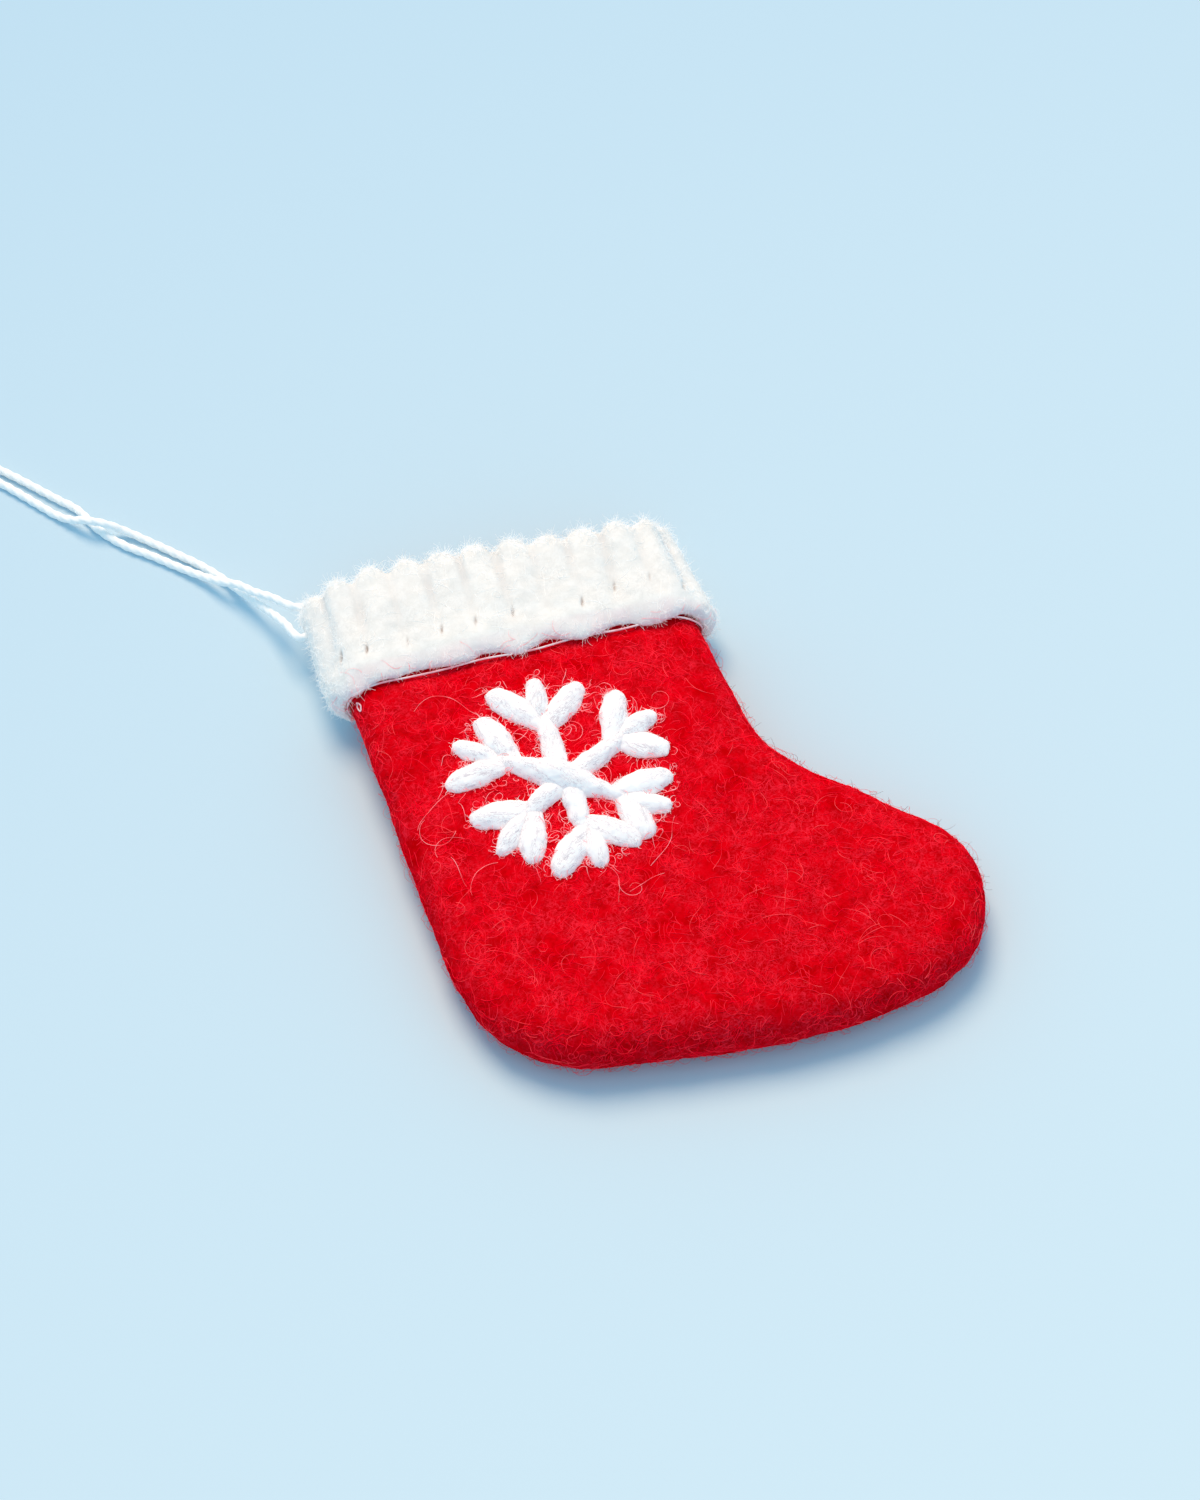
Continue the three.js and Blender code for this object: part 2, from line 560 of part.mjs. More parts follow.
// The knot that stops the cord inside the pouch: three lobes, open on the cord's side.
const knot_steps = 36;
const knot_open = 0.35;
const flat_share = 0.15;          // evens out the height at which the turns cross
const knot_path = Array.from({ length: knot_steps + 1 }, (_, k) => {
  const t = Math.PI / 6 + lerp(knot_open, 2 * Math.PI - knot_open, k / knot_steps);
  const rise = Math.sin(3 * t) * Math.sqrt((1 + flat_share) / (Math.sin(3 * t) ** 2 + flat_share));
  return new THREE.Vector3(knot_x - knot_lobe * (Math.sin(t) + 2 * Math.sin(2 * t)),
    knot_y + knot_lobe * (Math.cos(t) - 2 * Math.cos(2 * t)),
    cord_z + knot_lift - knot_rise * rise);
});

// The least gap that a tube keeps to itself, measured between points along its middle.
function selfGap(path, radius, name) {
  const curve = new THREE.CurvePath();
  for (let k = 0; k + 1 < path.length; k++) curve.add(new THREE.LineCurve3(path[k], path[k + 1]));
  const length = curve.getLength();
  const count = Math.min(Math.ceil(length / radius), 4000);
  const dots = Array.from({ length: count + 1 }, (_, k) => curve.getPoint(k / count));
  const skip = Math.ceil(8 * radius / (length / count)) + 1;
  let least = Infinity;
  for (let a = 0; a < dots.length; a++) {
    for (let b = a + skip; b < dots.length; b++) {
      least = Math.min(least, dots[a].distanceTo(dots[b]));
    }
  }
  console.log(`${name}: length ${length.toFixed(0)} mm, least gap to itself `
    + `${(least - 2 * radius).toFixed(2)} mm`);
}
selfGap(whip_path, thread_radius, 'rim_whip_stitch');
selfGap(cord_curve.getSpacedPoints(cord_steps), cord_radius, 'hanging_cord');
selfGap(knot_path, cord_radius, 'cord_knot');

// The part.
const part = new THREE.Group();
function add(name, geometry, look) {
  const mesh = new THREE.Mesh(geometry, new THREE.MeshStandardMaterial(look));
  mesh.name = name;
  part.add(mesh);
  return mesh;
}
add('stocking_body', stocking_body, red_felt);
add('cuff', cuff, white_felt);
add('rim_whip_stitch', tube(whip_path, thread_radius, 5), white_thread);
add('hem_thread', tube(hem_path, hem_thread_radius, 5, true), white_thread);
for (const [name, geometry] of Object.entries(stitches)) add(name, geometry, white_yarn);

// The zero goes under the middle of the felt, before the cord is added.
part.updateMatrixWorld(true);
const felt_box = new THREE.Box3().setFromObject(part, true);
const zero = felt_box.getCenter(new THREE.Vector3()).setZ(0);
add('hanging_cord', hanging_cord, white_cord);
add('cord_knot', tube(knot_path, cord_radius, 6), white_cord);
part.position.copy(zero).negate();

export default part;
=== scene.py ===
# %% [markdown]
# # A felted wool stocking with a yarn snowflake
# The real object is a small flat pouch in the shape of a stocking. It is made of red wool
# felt with rounded, puffy edges, a white felt cuff that is sewn over its rim, a snowflake of
# thick white yarn stitches, and a doubled cotton cord to hang it by. It lies on its back.
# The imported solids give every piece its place. They could be shaded as they are, but wool
# has no sharp edge and no smooth face, so each soft solid gets a softer, hairier stand-in
# that fills the same space.

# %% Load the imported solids
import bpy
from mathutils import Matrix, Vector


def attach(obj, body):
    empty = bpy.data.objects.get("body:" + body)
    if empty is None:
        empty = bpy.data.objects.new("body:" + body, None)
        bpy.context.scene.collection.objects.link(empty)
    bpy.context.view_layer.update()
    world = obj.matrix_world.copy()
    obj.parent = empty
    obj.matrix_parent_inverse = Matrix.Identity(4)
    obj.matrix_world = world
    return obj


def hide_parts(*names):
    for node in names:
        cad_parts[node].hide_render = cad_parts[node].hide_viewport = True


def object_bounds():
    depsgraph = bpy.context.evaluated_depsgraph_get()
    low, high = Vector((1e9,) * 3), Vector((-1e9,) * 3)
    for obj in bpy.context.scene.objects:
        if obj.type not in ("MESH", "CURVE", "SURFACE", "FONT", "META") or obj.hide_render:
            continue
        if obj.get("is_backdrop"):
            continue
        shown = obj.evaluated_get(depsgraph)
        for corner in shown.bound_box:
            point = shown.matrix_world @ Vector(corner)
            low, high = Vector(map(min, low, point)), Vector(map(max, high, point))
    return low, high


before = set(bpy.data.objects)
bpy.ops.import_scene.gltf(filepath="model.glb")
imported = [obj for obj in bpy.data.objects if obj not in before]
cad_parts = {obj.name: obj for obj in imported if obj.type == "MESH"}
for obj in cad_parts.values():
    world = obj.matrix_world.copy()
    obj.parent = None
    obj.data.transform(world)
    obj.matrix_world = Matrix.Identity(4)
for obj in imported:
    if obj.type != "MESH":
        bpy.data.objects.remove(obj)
cad_low, cad_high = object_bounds()
print("nodes:", len(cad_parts), "box:", [round(s, 4) for s in cad_high - cad_low])

# %% Tools and units
import math
import random

import bmesh
import bpy
import numpy as np
from mathutils import Matrix, Vector, noise
from mathutils.bvhtree import BVHTree

mm = 0.001
up = Vector((0, 0, 1))


def linked(name, data):
    """A new object in the scene, at the origin."""
    made = bpy.data.objects.new(name, data)
    bpy.context.scene.collection.objects.link(made)
    return made


def shown(name, mesh):
    """A piece of the object, which rides on the one body."""
    piece = linked(name, mesh)
    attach(piece, "root")
    return piece


# %% [markdown]
# ## The camera
# The picture looks down at the table at a little under sixty degrees, from in front of the
# foot and a little to the left. A long lens keeps the sides of the stocking almost parallel.
# The camera is aimed with one vector, which is simpler than three angles: the quaternion
# turns the camera's own minus Z along it and keeps its Y up.

# %% Place the camera
camera_place = Vector((-86.9, -293.8, 490.4)) * mm
camera_target = Vector((-5.41, 10.56, 5.2)) * mm
lens_length, film_width = 85.7, 36
camera_data = bpy.data.cameras.new("camera")
camera_data.lens, camera_data.sensor_width = lens_length, film_width
camera = linked("camera", camera_data)
camera.location = camera_place
camera.rotation_mode = "QUATERNION"
camera.rotation_quaternion = (camera_target - camera_place).to_track_quat("-Z", "Y")
bpy.context.scene.camera = camera
bpy.context.scene.view_settings.view_transform = "Standard"
print("distance to the felt:", round((camera_target - camera_place).length, 3))

# %% [markdown]
# ## The hanging cord
# One length of thin, soft cotton cord is folded in half. Its two ends are knotted inside the
# pouch: one comes out over the rim at the heel-side corner, the other through the felt of
# the edge below it. The doubled cord falls to the table and lies there, and one strand
# passes over the other on the way.
# A plain tube along the route would look like wire. Cotton cord is three plies laid round
# each other, so a three-lobed profile is swept along the route and turned as it goes, by the
# tilt of the curve's points. The swept curve is then kept as a mesh.

# %% The cord's route over the table
cord_thickness = 1.5 * mm
route = [Vector(point) for point in (
    (-0.0353, 0.0454, 0.0068), (-0.0383, 0.0480, 0.0068), (-0.0427, 0.0494, 0.0068),
    (-0.0468, 0.0498, 0.0068), (-0.0506, 0.0533, 0.0063), (-0.0531, 0.0561, 0.0050),
    (-0.0552, 0.0587, 0.0042), (-0.0578, 0.0610, 0.0030), (-0.0603, 0.0637, 0.0017),
    (-0.0642, 0.0675, 0.0009), (-0.0683, 0.0712, 0.0008), (-0.0717, 0.0740, 0.0008),
    (-0.0757, 0.0788, 0.0008), (-0.0783, 0.0837, 0.0008), (-0.0811, 0.0867, 0.0008),
    (-0.0870, 0.0930, 0.0008), (-0.0903, 0.0964, 0.0008), (-0.0981, 0.1062, 0.0008),
    (-0.1062, 0.1174, 0.0008), (-0.1097, 0.1200, 0.0008), (-0.1133, 0.1185, 0.0008),
    (-0.1131, 0.1131, 0.0008), (-0.1031, 0.1038, 0.0008), (-0.0903, 0.0930, 0.0008),
    (-0.0872, 0.0896, 0.0008), (-0.0844, 0.0863, 0.0008), (-0.0817, 0.0832, 0.0009),
    (-0.0795, 0.0811, 0.0017), (-0.0773, 0.0795, 0.0029), (-0.0743, 0.0779, 0.0029),
    (-0.0713, 0.0767, 0.0014), (-0.0677, 0.0739, 0.0008), (-0.0635, 0.0699, 0.0008),
    (-0.0596, 0.0660, 0.0008), (-0.0571, 0.0627, 0.0010), (-0.0548, 0.0587, 0.0020),
    (-0.0527, 0.0548, 0.0031), (-0.0509, 0.0512, 0.0045), (-0.0494, 0.0476, 0.0059),
    (-0.0476, 0.0436, 0.0068), (-0.0468, 0.0436, 0.0068), (-0.0427, 0.0436, 0.0068),
    (-0.0367, 0.0436, 0.0068))]
cord_spacing, steps_between = 0.5 * mm, 12


def smooth_line(points, spacing):
    """The points of an evenly spaced line that runs smoothly through the given ones."""
    guide = bpy.data.curves.new("guide", "CURVE")
    guide.dimensions, guide.resolution_u = "3D", steps_between
    bends = guide.splines.new("BEZIER")
    bends.bezier_points.add(len(points) - 1)
    for bend, point in zip(bends.bezier_points, points):
        bend.co, bend.handle_left_type, bend.handle_right_type = point, "AUTO", "AUTO"
    holder = linked("guide", guide)
    dense = np.array([v.co for v in holder.to_mesh().vertices])
    holder.to_mesh_clear()
    bpy.data.objects.remove(holder)
    far = np.concatenate([[0], np.cumsum(np.linalg.norm(np.diff(dense, axis=0), axis=1))])
    even = np.linspace(0, far[-1], round(far[-1] / spacing) + 1)
    placed = np.stack([np.interp(even, far, dense[:, k]) for k in range(3)], 1)
    return [Vector(place) for place in placed]


cord_line = smooth_line(route, cord_spacing)
print("cord points:", len(cord_line))

# %% A sweep that turns or tapers as it goes
def kept_mesh(holder):
    """The finished mesh of a curve or of an object with a modifier, which is then removed."""
    bpy.context.view_layer.update()
    mesh = bpy.data.meshes.new_from_object(
        holder.evaluated_get(bpy.context.evaluated_depsgraph_get()))
    bpy.data.objects.remove(holder)
    return mesh


def round_profile(sides, radius=1.0):
    """The corners of a flat regular profile."""
    turns = [k / sides * 2 * math.pi for k in range(sides)]
    return [(math.cos(turn) * radius, math.sin(turn) * radius) for turn in turns]


def swept(name, lines, profile, turns_per_metre=0.0, thinness=None):
    """A mesh made by sweeping a flat closed profile along every one of the lines."""
    shape = bpy.data.curves.new(name + "_profile", "CURVE")
    rim = shape.splines.new("POLY")
    rim.points.add(len(profile) - 1)
    for dot, (x, y) in zip(rim.points, profile):
        dot.co = (x, y, 0, 1)
    rim.use_cyclic_u = True
    section = linked(name + "_profile", shape)
    path = bpy.data.curves.new(name, "CURVE")
    path.dimensions, path.bevel_mode, path.bevel_object = "3D", "OBJECT", section
    path.use_fill_caps = True
    for line in lines:
        run = path.splines.new("POLY")
        run.points.add(len(line) - 1)
        run.points.foreach_set("co", [c for p in line for c in (*p, 1)])
        step = (line[1] - line[0]).length
        if turns_per_metre:
            run.points.foreach_set(
                "tilt", [k * step * turns_per_metre * 2 * math.pi for k in range(len(line))])
        if thinness:
            run.points.foreach_set("radius", thinness)
    mesh = kept_mesh(linked(name, path))
    bpy.data.objects.remove(section)
    return mesh


def facing_out(mesh):
    """Turns the faces of a closed mesh outwards, if they are not."""
    shape = bmesh.new()
    shape.from_mesh(mesh)
    if shape.calc_volume(signed=True) < 0:
        bmesh.ops.reverse_faces(shape, faces=shape.faces[:])
    shape.to_mesh(mesh)
    shape.free()
    return mesh


# %% Cotton finish for the cord
scatter_depth = 0.8 * mm


def finish_of(name, roughness, gloss=0.0, glow=0.0, painted_glow=0.0):
    """A new matt material with its shader, and a way to add nodes and join them.

    Gloss is the specular level, and glow the share of light that spreads under the surface.
    Painted glow is the emission strength: the surface gives off a little light of its own
    colour, in place of the light that passes through thin fibres and leaves on our side."""
    material = bpy.data.materials.new(name)
    material.use_nodes = True
    nodes, links = material.node_tree.nodes, material.node_tree.links
    shader = nodes["Principled BSDF"]
    shader.inputs["Roughness"].default_value = roughness
    shader.inputs["Specular IOR Level"].default_value = gloss
    shader.inputs["Subsurface Weight"].default_value = glow
    shader.inputs["Subsurface Radius"].default_value = (1, 1, 1)
    shader.inputs["Subsurface Scale"].default_value = scatter_depth
    # Painted glow: the surface gives off light of its own colour, though it is no lamp.
    shader.inputs["Emission Strength"].default_value = painted_glow

    def node(kind, join=(), **settings):
        made = nodes.new("ShaderNode" + kind)
        for key, value in settings.items():
            if hasattr(made, key):
                setattr(made, key, value)
            else:
                made.inputs[key.replace("_", " ")].default_value = value
        for socket, source in dict(join).items():
            links.new(source, made.inputs[socket])
        return made

    return material, shader, node, links


# The cotton gets a little painted glow of its own colour, which lightens it in shade.
cotton, cotton_shader, node, links = finish_of("white_cotton", 0.85, gloss=0.05, glow=0.3,
                                               painted_glow=0.08)
where = node("TexCoord").outputs["Object"]
lint = node("TexNoise", {"Vector": where}, Scale=1400, Detail=4, Roughness=0.7)
tint = node("ValToRGB", {"Fac": lint.outputs["Fac"]})
tint.color_ramp.elements[0].color = (0.86, 0.90, 0.91, 1)
tint.color_ramp.elements[1].color = (0.94, 0.96, 0.96, 1)
tint.color_ramp.elements[0].position, tint.color_ramp.elements[1].position = 0.3, 0.6
links.new(tint.outputs["Color"], cotton_shader.inputs["Base Color"])
links.new(tint.outputs["Color"], cotton_shader.inputs["Emission Color"])
fuzz = node("Bump", {"Height": lint.outputs["Fac"]}, Strength=0.4, Distance=0.15 * mm)
links.new(fuzz.outputs["Normal"], cotton_shader.inputs["Normal"])
print("nodes in the cotton:", len(cotton.node_tree.nodes))

# %% Lay the cord
plies, ply_depth, ply_sides, lay_length = 3, 0.17, 18, 6.5 * mm
lobed = []
for k, (x, y) in enumerate(round_profile(ply_sides)):
    dip = 1 - math.cos(plies * k / ply_sides * 2 * math.pi)
    ply_radius = cord_thickness / 2 * (1 - ply_depth * dip / 2)
    lobed.append((x * ply_radius, y * ply_radius))
cord_mesh = facing_out(swept("cord_sweep", [cord_line], lobed, turns_per_metre=1 / lay_length))
cord = shown("hanging_cord_twist", cord_mesh)
cord.data.materials.append(cotton)
cord.data.shade_smooth()
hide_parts("hanging_cord")
print("cord faces:", len(cord_mesh.polygons))

# %% [markdown]
# ## The knot inside the pouch
# The two ends are tied in an overhand knot that can't slip out through the felt. It could be
# left out, because the felt hides it, but a piece that can be lifted off should be whole. The
# solid has the knot's form already, so a merged copy of it is refined by subdivision.

# %% A merged and refined copy of a solid
def merged_copy(solid):
    """The solid's faces in a bmesh, joined along their edges."""
    shape = bmesh.new()
    shape.from_mesh(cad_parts[solid].data)
    bmesh.ops.remove_doubles(shape, verts=shape.verts[:], dist=0.001 * mm)
    return shape


def mesh_of(shape, name):
    """The smoothly shaded mesh of a bmesh, which is freed."""
    mesh = bpy.data.meshes.new(name)
    shape.to_mesh(mesh)
    shape.free()
    mesh.shade_smooth()
    return mesh


def refined(name, solid, finish):
    """A piece that stands for a thin soft solid and keeps its form."""
    piece = shown(name, mesh_of(merged_copy(solid), name))
    rounder = piece.modifiers.new("rounder", "SUBSURF")
    rounder.levels = rounder.render_levels = 1
    piece.data.materials.append(finish)
    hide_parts(solid)
    return piece


knot = refined("cord_knot_twist", "cord_knot", cotton)
print("knot faces:", len(knot.data.polygons))

# %% [markdown]
# ## The red wool
# Wet felt is a mat of curly fibres that lie across each other. From near it shows a net of
# lighter threads over deeper red. One noise gives the deeper and lighter clouds. The threads
# could be a picture, but a noise does it too: where a smooth noise passes through its middle
# value it draws long curling lines, and three such nets at different sizes look like fibres.
# A second, larger noise lets the net fade here and there, so that it has no even pattern.

# %% Curly lines from noise
net_shift = (0.37, 0.21, 0.5)


def nets(node, where, scales, width):
    """The strongest of several nets of thin curly lines, from 0 between them to 1 on them."""
    strongest = None
    for seed, scale in enumerate(scales):
        moved = node("Mapping", {"Vector": where}, Location=[seed * s for s in net_shift])
        cloud = node("TexNoise", {"Vector": moved.outputs["Vector"]}, Scale=scale, Detail=1.5,
                     Distortion=1.4)
        off = node("Math", {0: cloud.outputs["Fac"]}, operation="SUBTRACT")
        off.inputs[1].default_value = 0.5
        far = node("Math", {0: off.outputs[0]}, operation="ABSOLUTE")
        line = node("MapRange", {"Value": far.outputs[0]}, interpolation_type="SMOOTHSTEP")
        line.inputs["From Min"].default_value, line.inputs["From Max"].default_value = 0, width
        line.inputs["To Min"].default_value, line.inputs["To Max"].default_value = 1, 0
        if strongest is None:
            strongest = line.outputs[0]
        else:
            both = node("Math", {0: strongest, 1: line.outputs[0]}, operation="MAXIMUM")
            strongest = both.outputs[0]
    return strongest


def eased(node, value, low, high):
    """The value as a share of its way from low to high, with soft ends."""
    share = node("MapRange", {"Value": value}, interpolation_type="SMOOTHSTEP")
    share.inputs["From Min"].default_value, share.inputs["From Max"].default_value = low, high
    return share.outputs[0]


def mixed(node, share, first, second):
    """Two colours mixed by a share. Each is a plain colour or another node's output."""
    mix = node("Mix", {0: share}, data_type="RGBA")
    first_socket, second_socket, result_socket = 6, 7, 2
    for socket, colour in ((first_socket, first), (second_socket, second)):
        if isinstance(colour, tuple):
            mix.inputs[socket].default_value = (*colour, 1)
        else:
            mix.id_data.links.new(colour, mix.inputs[socket])
    return mix.outputs[result_socket]


# %% Felted wool
cloud_range, patch_range, patch_scale = (0.36, 0.62), (0.3, 0.65), 0.45
relief_depth = 0.15 * mm


def wool(name, deep, full, thread, thread_share, scales, width, bump, cloud_scale=500,
         grain_scale=1500, along=None, glow=0.0, painted_glow=0.0, tints=()):
    """Felted wool: clouds from deep to full colour, with a net of other fibres over them.

    The fibres run every way, or along the strands of the attribute that is named."""
    material, shader, node, links = finish_of(name, 0.95, glow=glow, painted_glow=painted_glow)
    if along:
        where = node("Attribute", attribute_name=along).outputs["Vector"]
    else:
        where = node("TexCoord").outputs["Object"]
    cloud = node("TexNoise", {"Vector": where}, Scale=cloud_scale, Detail=5, Roughness=0.65)
    colour = mixed(node, eased(node, cloud.outputs["Fac"], *cloud_range), deep, full)
    net = nets(node, where, scales, width)
    patch = node("TexNoise", {"Vector": where}, Scale=scales[0] * patch_scale, Detail=2)
    share = node("Math", {0: net, 1: eased(node, patch.outputs["Fac"], *patch_range)},
                 operation="MULTIPLY")
    share = node("Math", {0: share.outputs[0]}, operation="MULTIPLY")
    share.inputs[1].default_value = thread_share
    colour = mixed(node, share.outputs[0], colour, thread)
    for attribute, tint in tints:
        painted = node("Attribute", attribute_name=attribute).outputs["Fac"]
        colour = mixed(node, painted, colour, tint)
    links.new(colour, shader.inputs["Base Color"])
    # The emission takes the same colour, for the painted glow.
    links.new(colour, shader.inputs["Emission Color"])
    grain = node("TexNoise", {"Vector": where}, Scale=grain_scale, Detail=3, Roughness=0.6)
    relief = node("Math", {0: net, 1: grain.outputs["Fac"]}, operation="ADD")
    lift = node("Bump", {"Height": relief.outputs[0]}, Strength=bump, Distance=relief_depth)
    links.new(lift.outputs["Normal"], shader.inputs["Normal"])
    return material


red_wool = wool("red_wool", deep=(0.52, 0.0, 0.002), full=(0.72, 0.0, 0.005),
                thread=(0.98, 0.025, 0.055), thread_share=0.7, scales=(450, 800, 1300),
                width=0.028, bump=0.18)
print("nodes in the red wool:", len(red_wool.node_tree.nodes))

# %% [markdown]
# ## The felt pouch
# The pouch is two layers of felt in one, grown together at the edge with no seam, and fuller
# in the middle of the foot. Cloth simulation would be the usual way to puff a sewn cushion,
# but felt is stiff and holds the shape it was felted to, so the solid's form is kept. It is
# remeshed into small even faces, smoothed, and then pushed in and out by a few fractions of
# a millimetre at three sizes, as hand-felted wool is.

# %% Remesh and roughen a felt solid
noise_shift = Vector((7, 3, 5))
floor_height = 0.05 * mm


def even_faces(shape, name, voxel, rounds):
    """The shape rebuilt from small even faces, with its facets smoothed away."""
    holder = linked(name, mesh_of(shape, name))
    grid = holder.modifiers.new("even", "REMESH")
    grid.mode, grid.voxel_size = "VOXEL", voxel
    rebuilt = bmesh.new()
    rebuilt.from_mesh(kept_mesh(holder))
    return soothed(rebuilt, rounds)


def soothed(shape, rounds):
    """The same shape after each point has moved towards its neighbours, round after round."""
    for _ in range(rounds):
        bmesh.ops.smooth_vert(shape, verts=shape.verts[:], factor=0.5,
                              use_axis_x=True, use_axis_y=True, use_axis_z=True)
    return shape


def roughened(shape, bumps):
    """Moves each point along its normal by a noise of each (size, depth), above the floor."""
    shape.normal_update()
    for point in shape.verts:
        push = sum(depth * noise.noise(point.co / size + noise_shift)
                   for size, depth in bumps)
        point.co = point.co + point.normal * push
        point.co.z = max(point.co.z, floor_height)
    return shape


# %% Make the pouch
def tree_of(*pieces):
    """A tree of the faces of one or more pieces, to find the nearest place on them."""
    points, faces = [], []
    for piece in pieces:
        start = len(points)
        points += [v.co.copy() for v in piece.data.vertices]
        faces += [tuple(start + v for v in p.vertices) for p in piece.data.polygons]
    return BVHTree.FromPolygons(points, faces)


pouch_face, pouch_rounds = 0.62 * mm, 5
pouch_bumps = [(9 * mm, 0.35 * mm), (2.4 * mm, 0.09 * mm), (0.9 * mm, 0.05 * mm)]
felt_pouch = roughened(
    even_faces(merged_copy("stocking_body"), "felt_pouch", pouch_face, pouch_rounds), pouch_bumps)
pouch = shown("felt_pouch", mesh_of(felt_pouch, "felt_pouch"))
pouch.data.materials.append(red_wool)
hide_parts("stocking_body")
pouch_tree = tree_of(pouch)
print("pouch faces:", len(pouch.data.polygons))

# %% [markdown]
# ## The white cuff
# A strip of thicker, looser white felt is wrapped round the rim and held by one running
# thread that goes over the edge again and again. Each turn of the thread pulls a soft groove
# in the felt and a notch in its top edge, and the loose wool closes over most of it. The
# solid has deep, clean grooves, which would look like pipes. Smoothing them all away would
# take the notches too. So a strongly smoothed copy is made, and each outer point is moved
# towards it: more than half of the way on the ribs, and all of the way in the valleys, which
# fills them. Then a much shallower groove is pressed in again along the thread, of a depth
# that changes as hand sewing does.

# %% Where the needle holes are
leg_middle = 6.8 * mm
hem_height = 28.86 * mm
hole_height = 33.86 * mm
crest_height = 48.36 * mm
hole_radius, hole_width = 0.72 * mm, 2.9 * mm


def clusters(points, reach):
    """The middles of groups of points that lie within reach of each other."""
    groups = []
    for point in points:
        near = next((g for g in groups if (g[0] - point).length < reach), None)
        if near:
            near.append(point)
        else:
            groups.append([point])
    return [sum(g, Vector()) / len(g) for g in groups]


cuff_shape = merged_copy("cuff")
hole_rims = [v.co.copy() for v in cuff_shape.verts if abs(v.co.y - hole_height) < hole_radius]
needle_holes = clusters(hole_rims, hole_width)
print("needle holes:", [tuple(round(x / mm, 1) for x in hole) for hole in needle_holes])

# %% Plug the holes and smooth a copy
plug_radius = 1.15 * mm
cuff_face, cuff_rounds, flat_rounds = 0.34 * mm, 9, 36
for hole in needle_holes:
    bmesh.ops.create_icosphere(cuff_shape, subdivisions=2, radius=plug_radius,
                               matrix=Matrix.Translation(hole))
felt_cuff = even_faces(cuff_shape, "felt_cuff", cuff_face, cuff_rounds)
flat_cuff = soothed(felt_cuff.copy(), flat_rounds)
flat_cuff.normal_update()
print("cuff points:", len(felt_cuff.verts))

# %% Fill the valleys and press the grooves in
edge_slope = 0.5
rib_share, valley_start, valley_depth = 0.62, 0.5 * mm, 0.9 * mm
loose_wool, loose_fade = 0.45 * mm, 4 * mm
groove_depth, groove_width, groove_fade = 0.26 * mm, 0.6 * mm, 9 * mm
groove_strength, groove_change, groove_foot = 0.75, 5 * mm, 0.3
# The groove's strength is also kept on the mesh as painted shade, which darkens the grooves.
groove_shade_paint = felt_cuff.verts.layers.float.new("groove")
thread_tree = BVHTree.FromBMesh(merged_copy("rim_whip_stitch"))
for point, flat in zip(felt_cuff.verts, flat_cuff.verts):
    away = Vector((0, 0, point.co.z - leg_middle))
    if flat.normal.dot(away) > 0 or abs(flat.normal.z) < edge_slope:
        hollow = (flat.co - point.co).dot(flat.normal)
        share = min(1, max(rib_share, (hollow + valley_start) / valley_depth))
        over_holes = min(1, max(0, point.co.y - hole_height + loose_fade) / loose_fade)
        point.co = point.co.lerp(flat.co + flat.normal * loose_wool * over_holes, share)
        to_thread = thread_tree.find_nearest(point.co)[3] / groove_width
        change = noise.noise(point.co / groove_change)
        groove = math.exp(-to_thread ** 2) * (groove_strength + change)
        groove *= min(1, max(groove_foot, (point.co.y - hole_height) / groove_fade))
        point[groove_shade_paint] = max(0, min(1, groove))
        point.co = point.co - flat.normal * groove_depth * groove
flat_cuff.free()
print("deepest groove, as a share:", round(max(v[groove_shade_paint] for v in felt_cuff.verts), 2))

# %% Lift the crest
# Each bulge of it has a place, a reach and a rise.
crest_lift, crest_reach = 0.6 * mm, 9 * mm
crest_bulges = [(-34.5 * mm, 5 * mm, 1.1 * mm), (-22 * mm, 11 * mm, 1.4 * mm),
                (21 * mm, 4.5 * mm, 1.9 * mm)]
cuff_bumps = [(7 * mm, 0.5 * mm), (2.2 * mm, 0.14 * mm), (1.1 * mm, 0.05 * mm)]
for point in felt_cuff.verts:
    near_crest = max(0, 1 - (crest_height - point.co.y) / crest_reach)
    bulge = sum(rise * math.exp(-((point.co.x - middle) / reach) ** 2)
                for middle, reach, rise in crest_bulges)
    point.co.y += (crest_lift + bulge) * near_crest
felt_cuff = roughened(soothed(felt_cuff, 2), cuff_bumps)
print("top of the crest:", round(max(v.co.y for v in felt_cuff.verts) / mm, 1), "mm")

# %% [markdown]
# The needle has left small slits in the front, and the hem is pulled down unevenly on to its
# thread. Both could be painted only, but a dent has its own shadow from every side. What is
# painted is shade inside each slit and a blush of red fibres along the hem, as two more
# numbers kept on the mesh beside the grooves' one, which is painted shade along the grooves.
# The material reads all three.

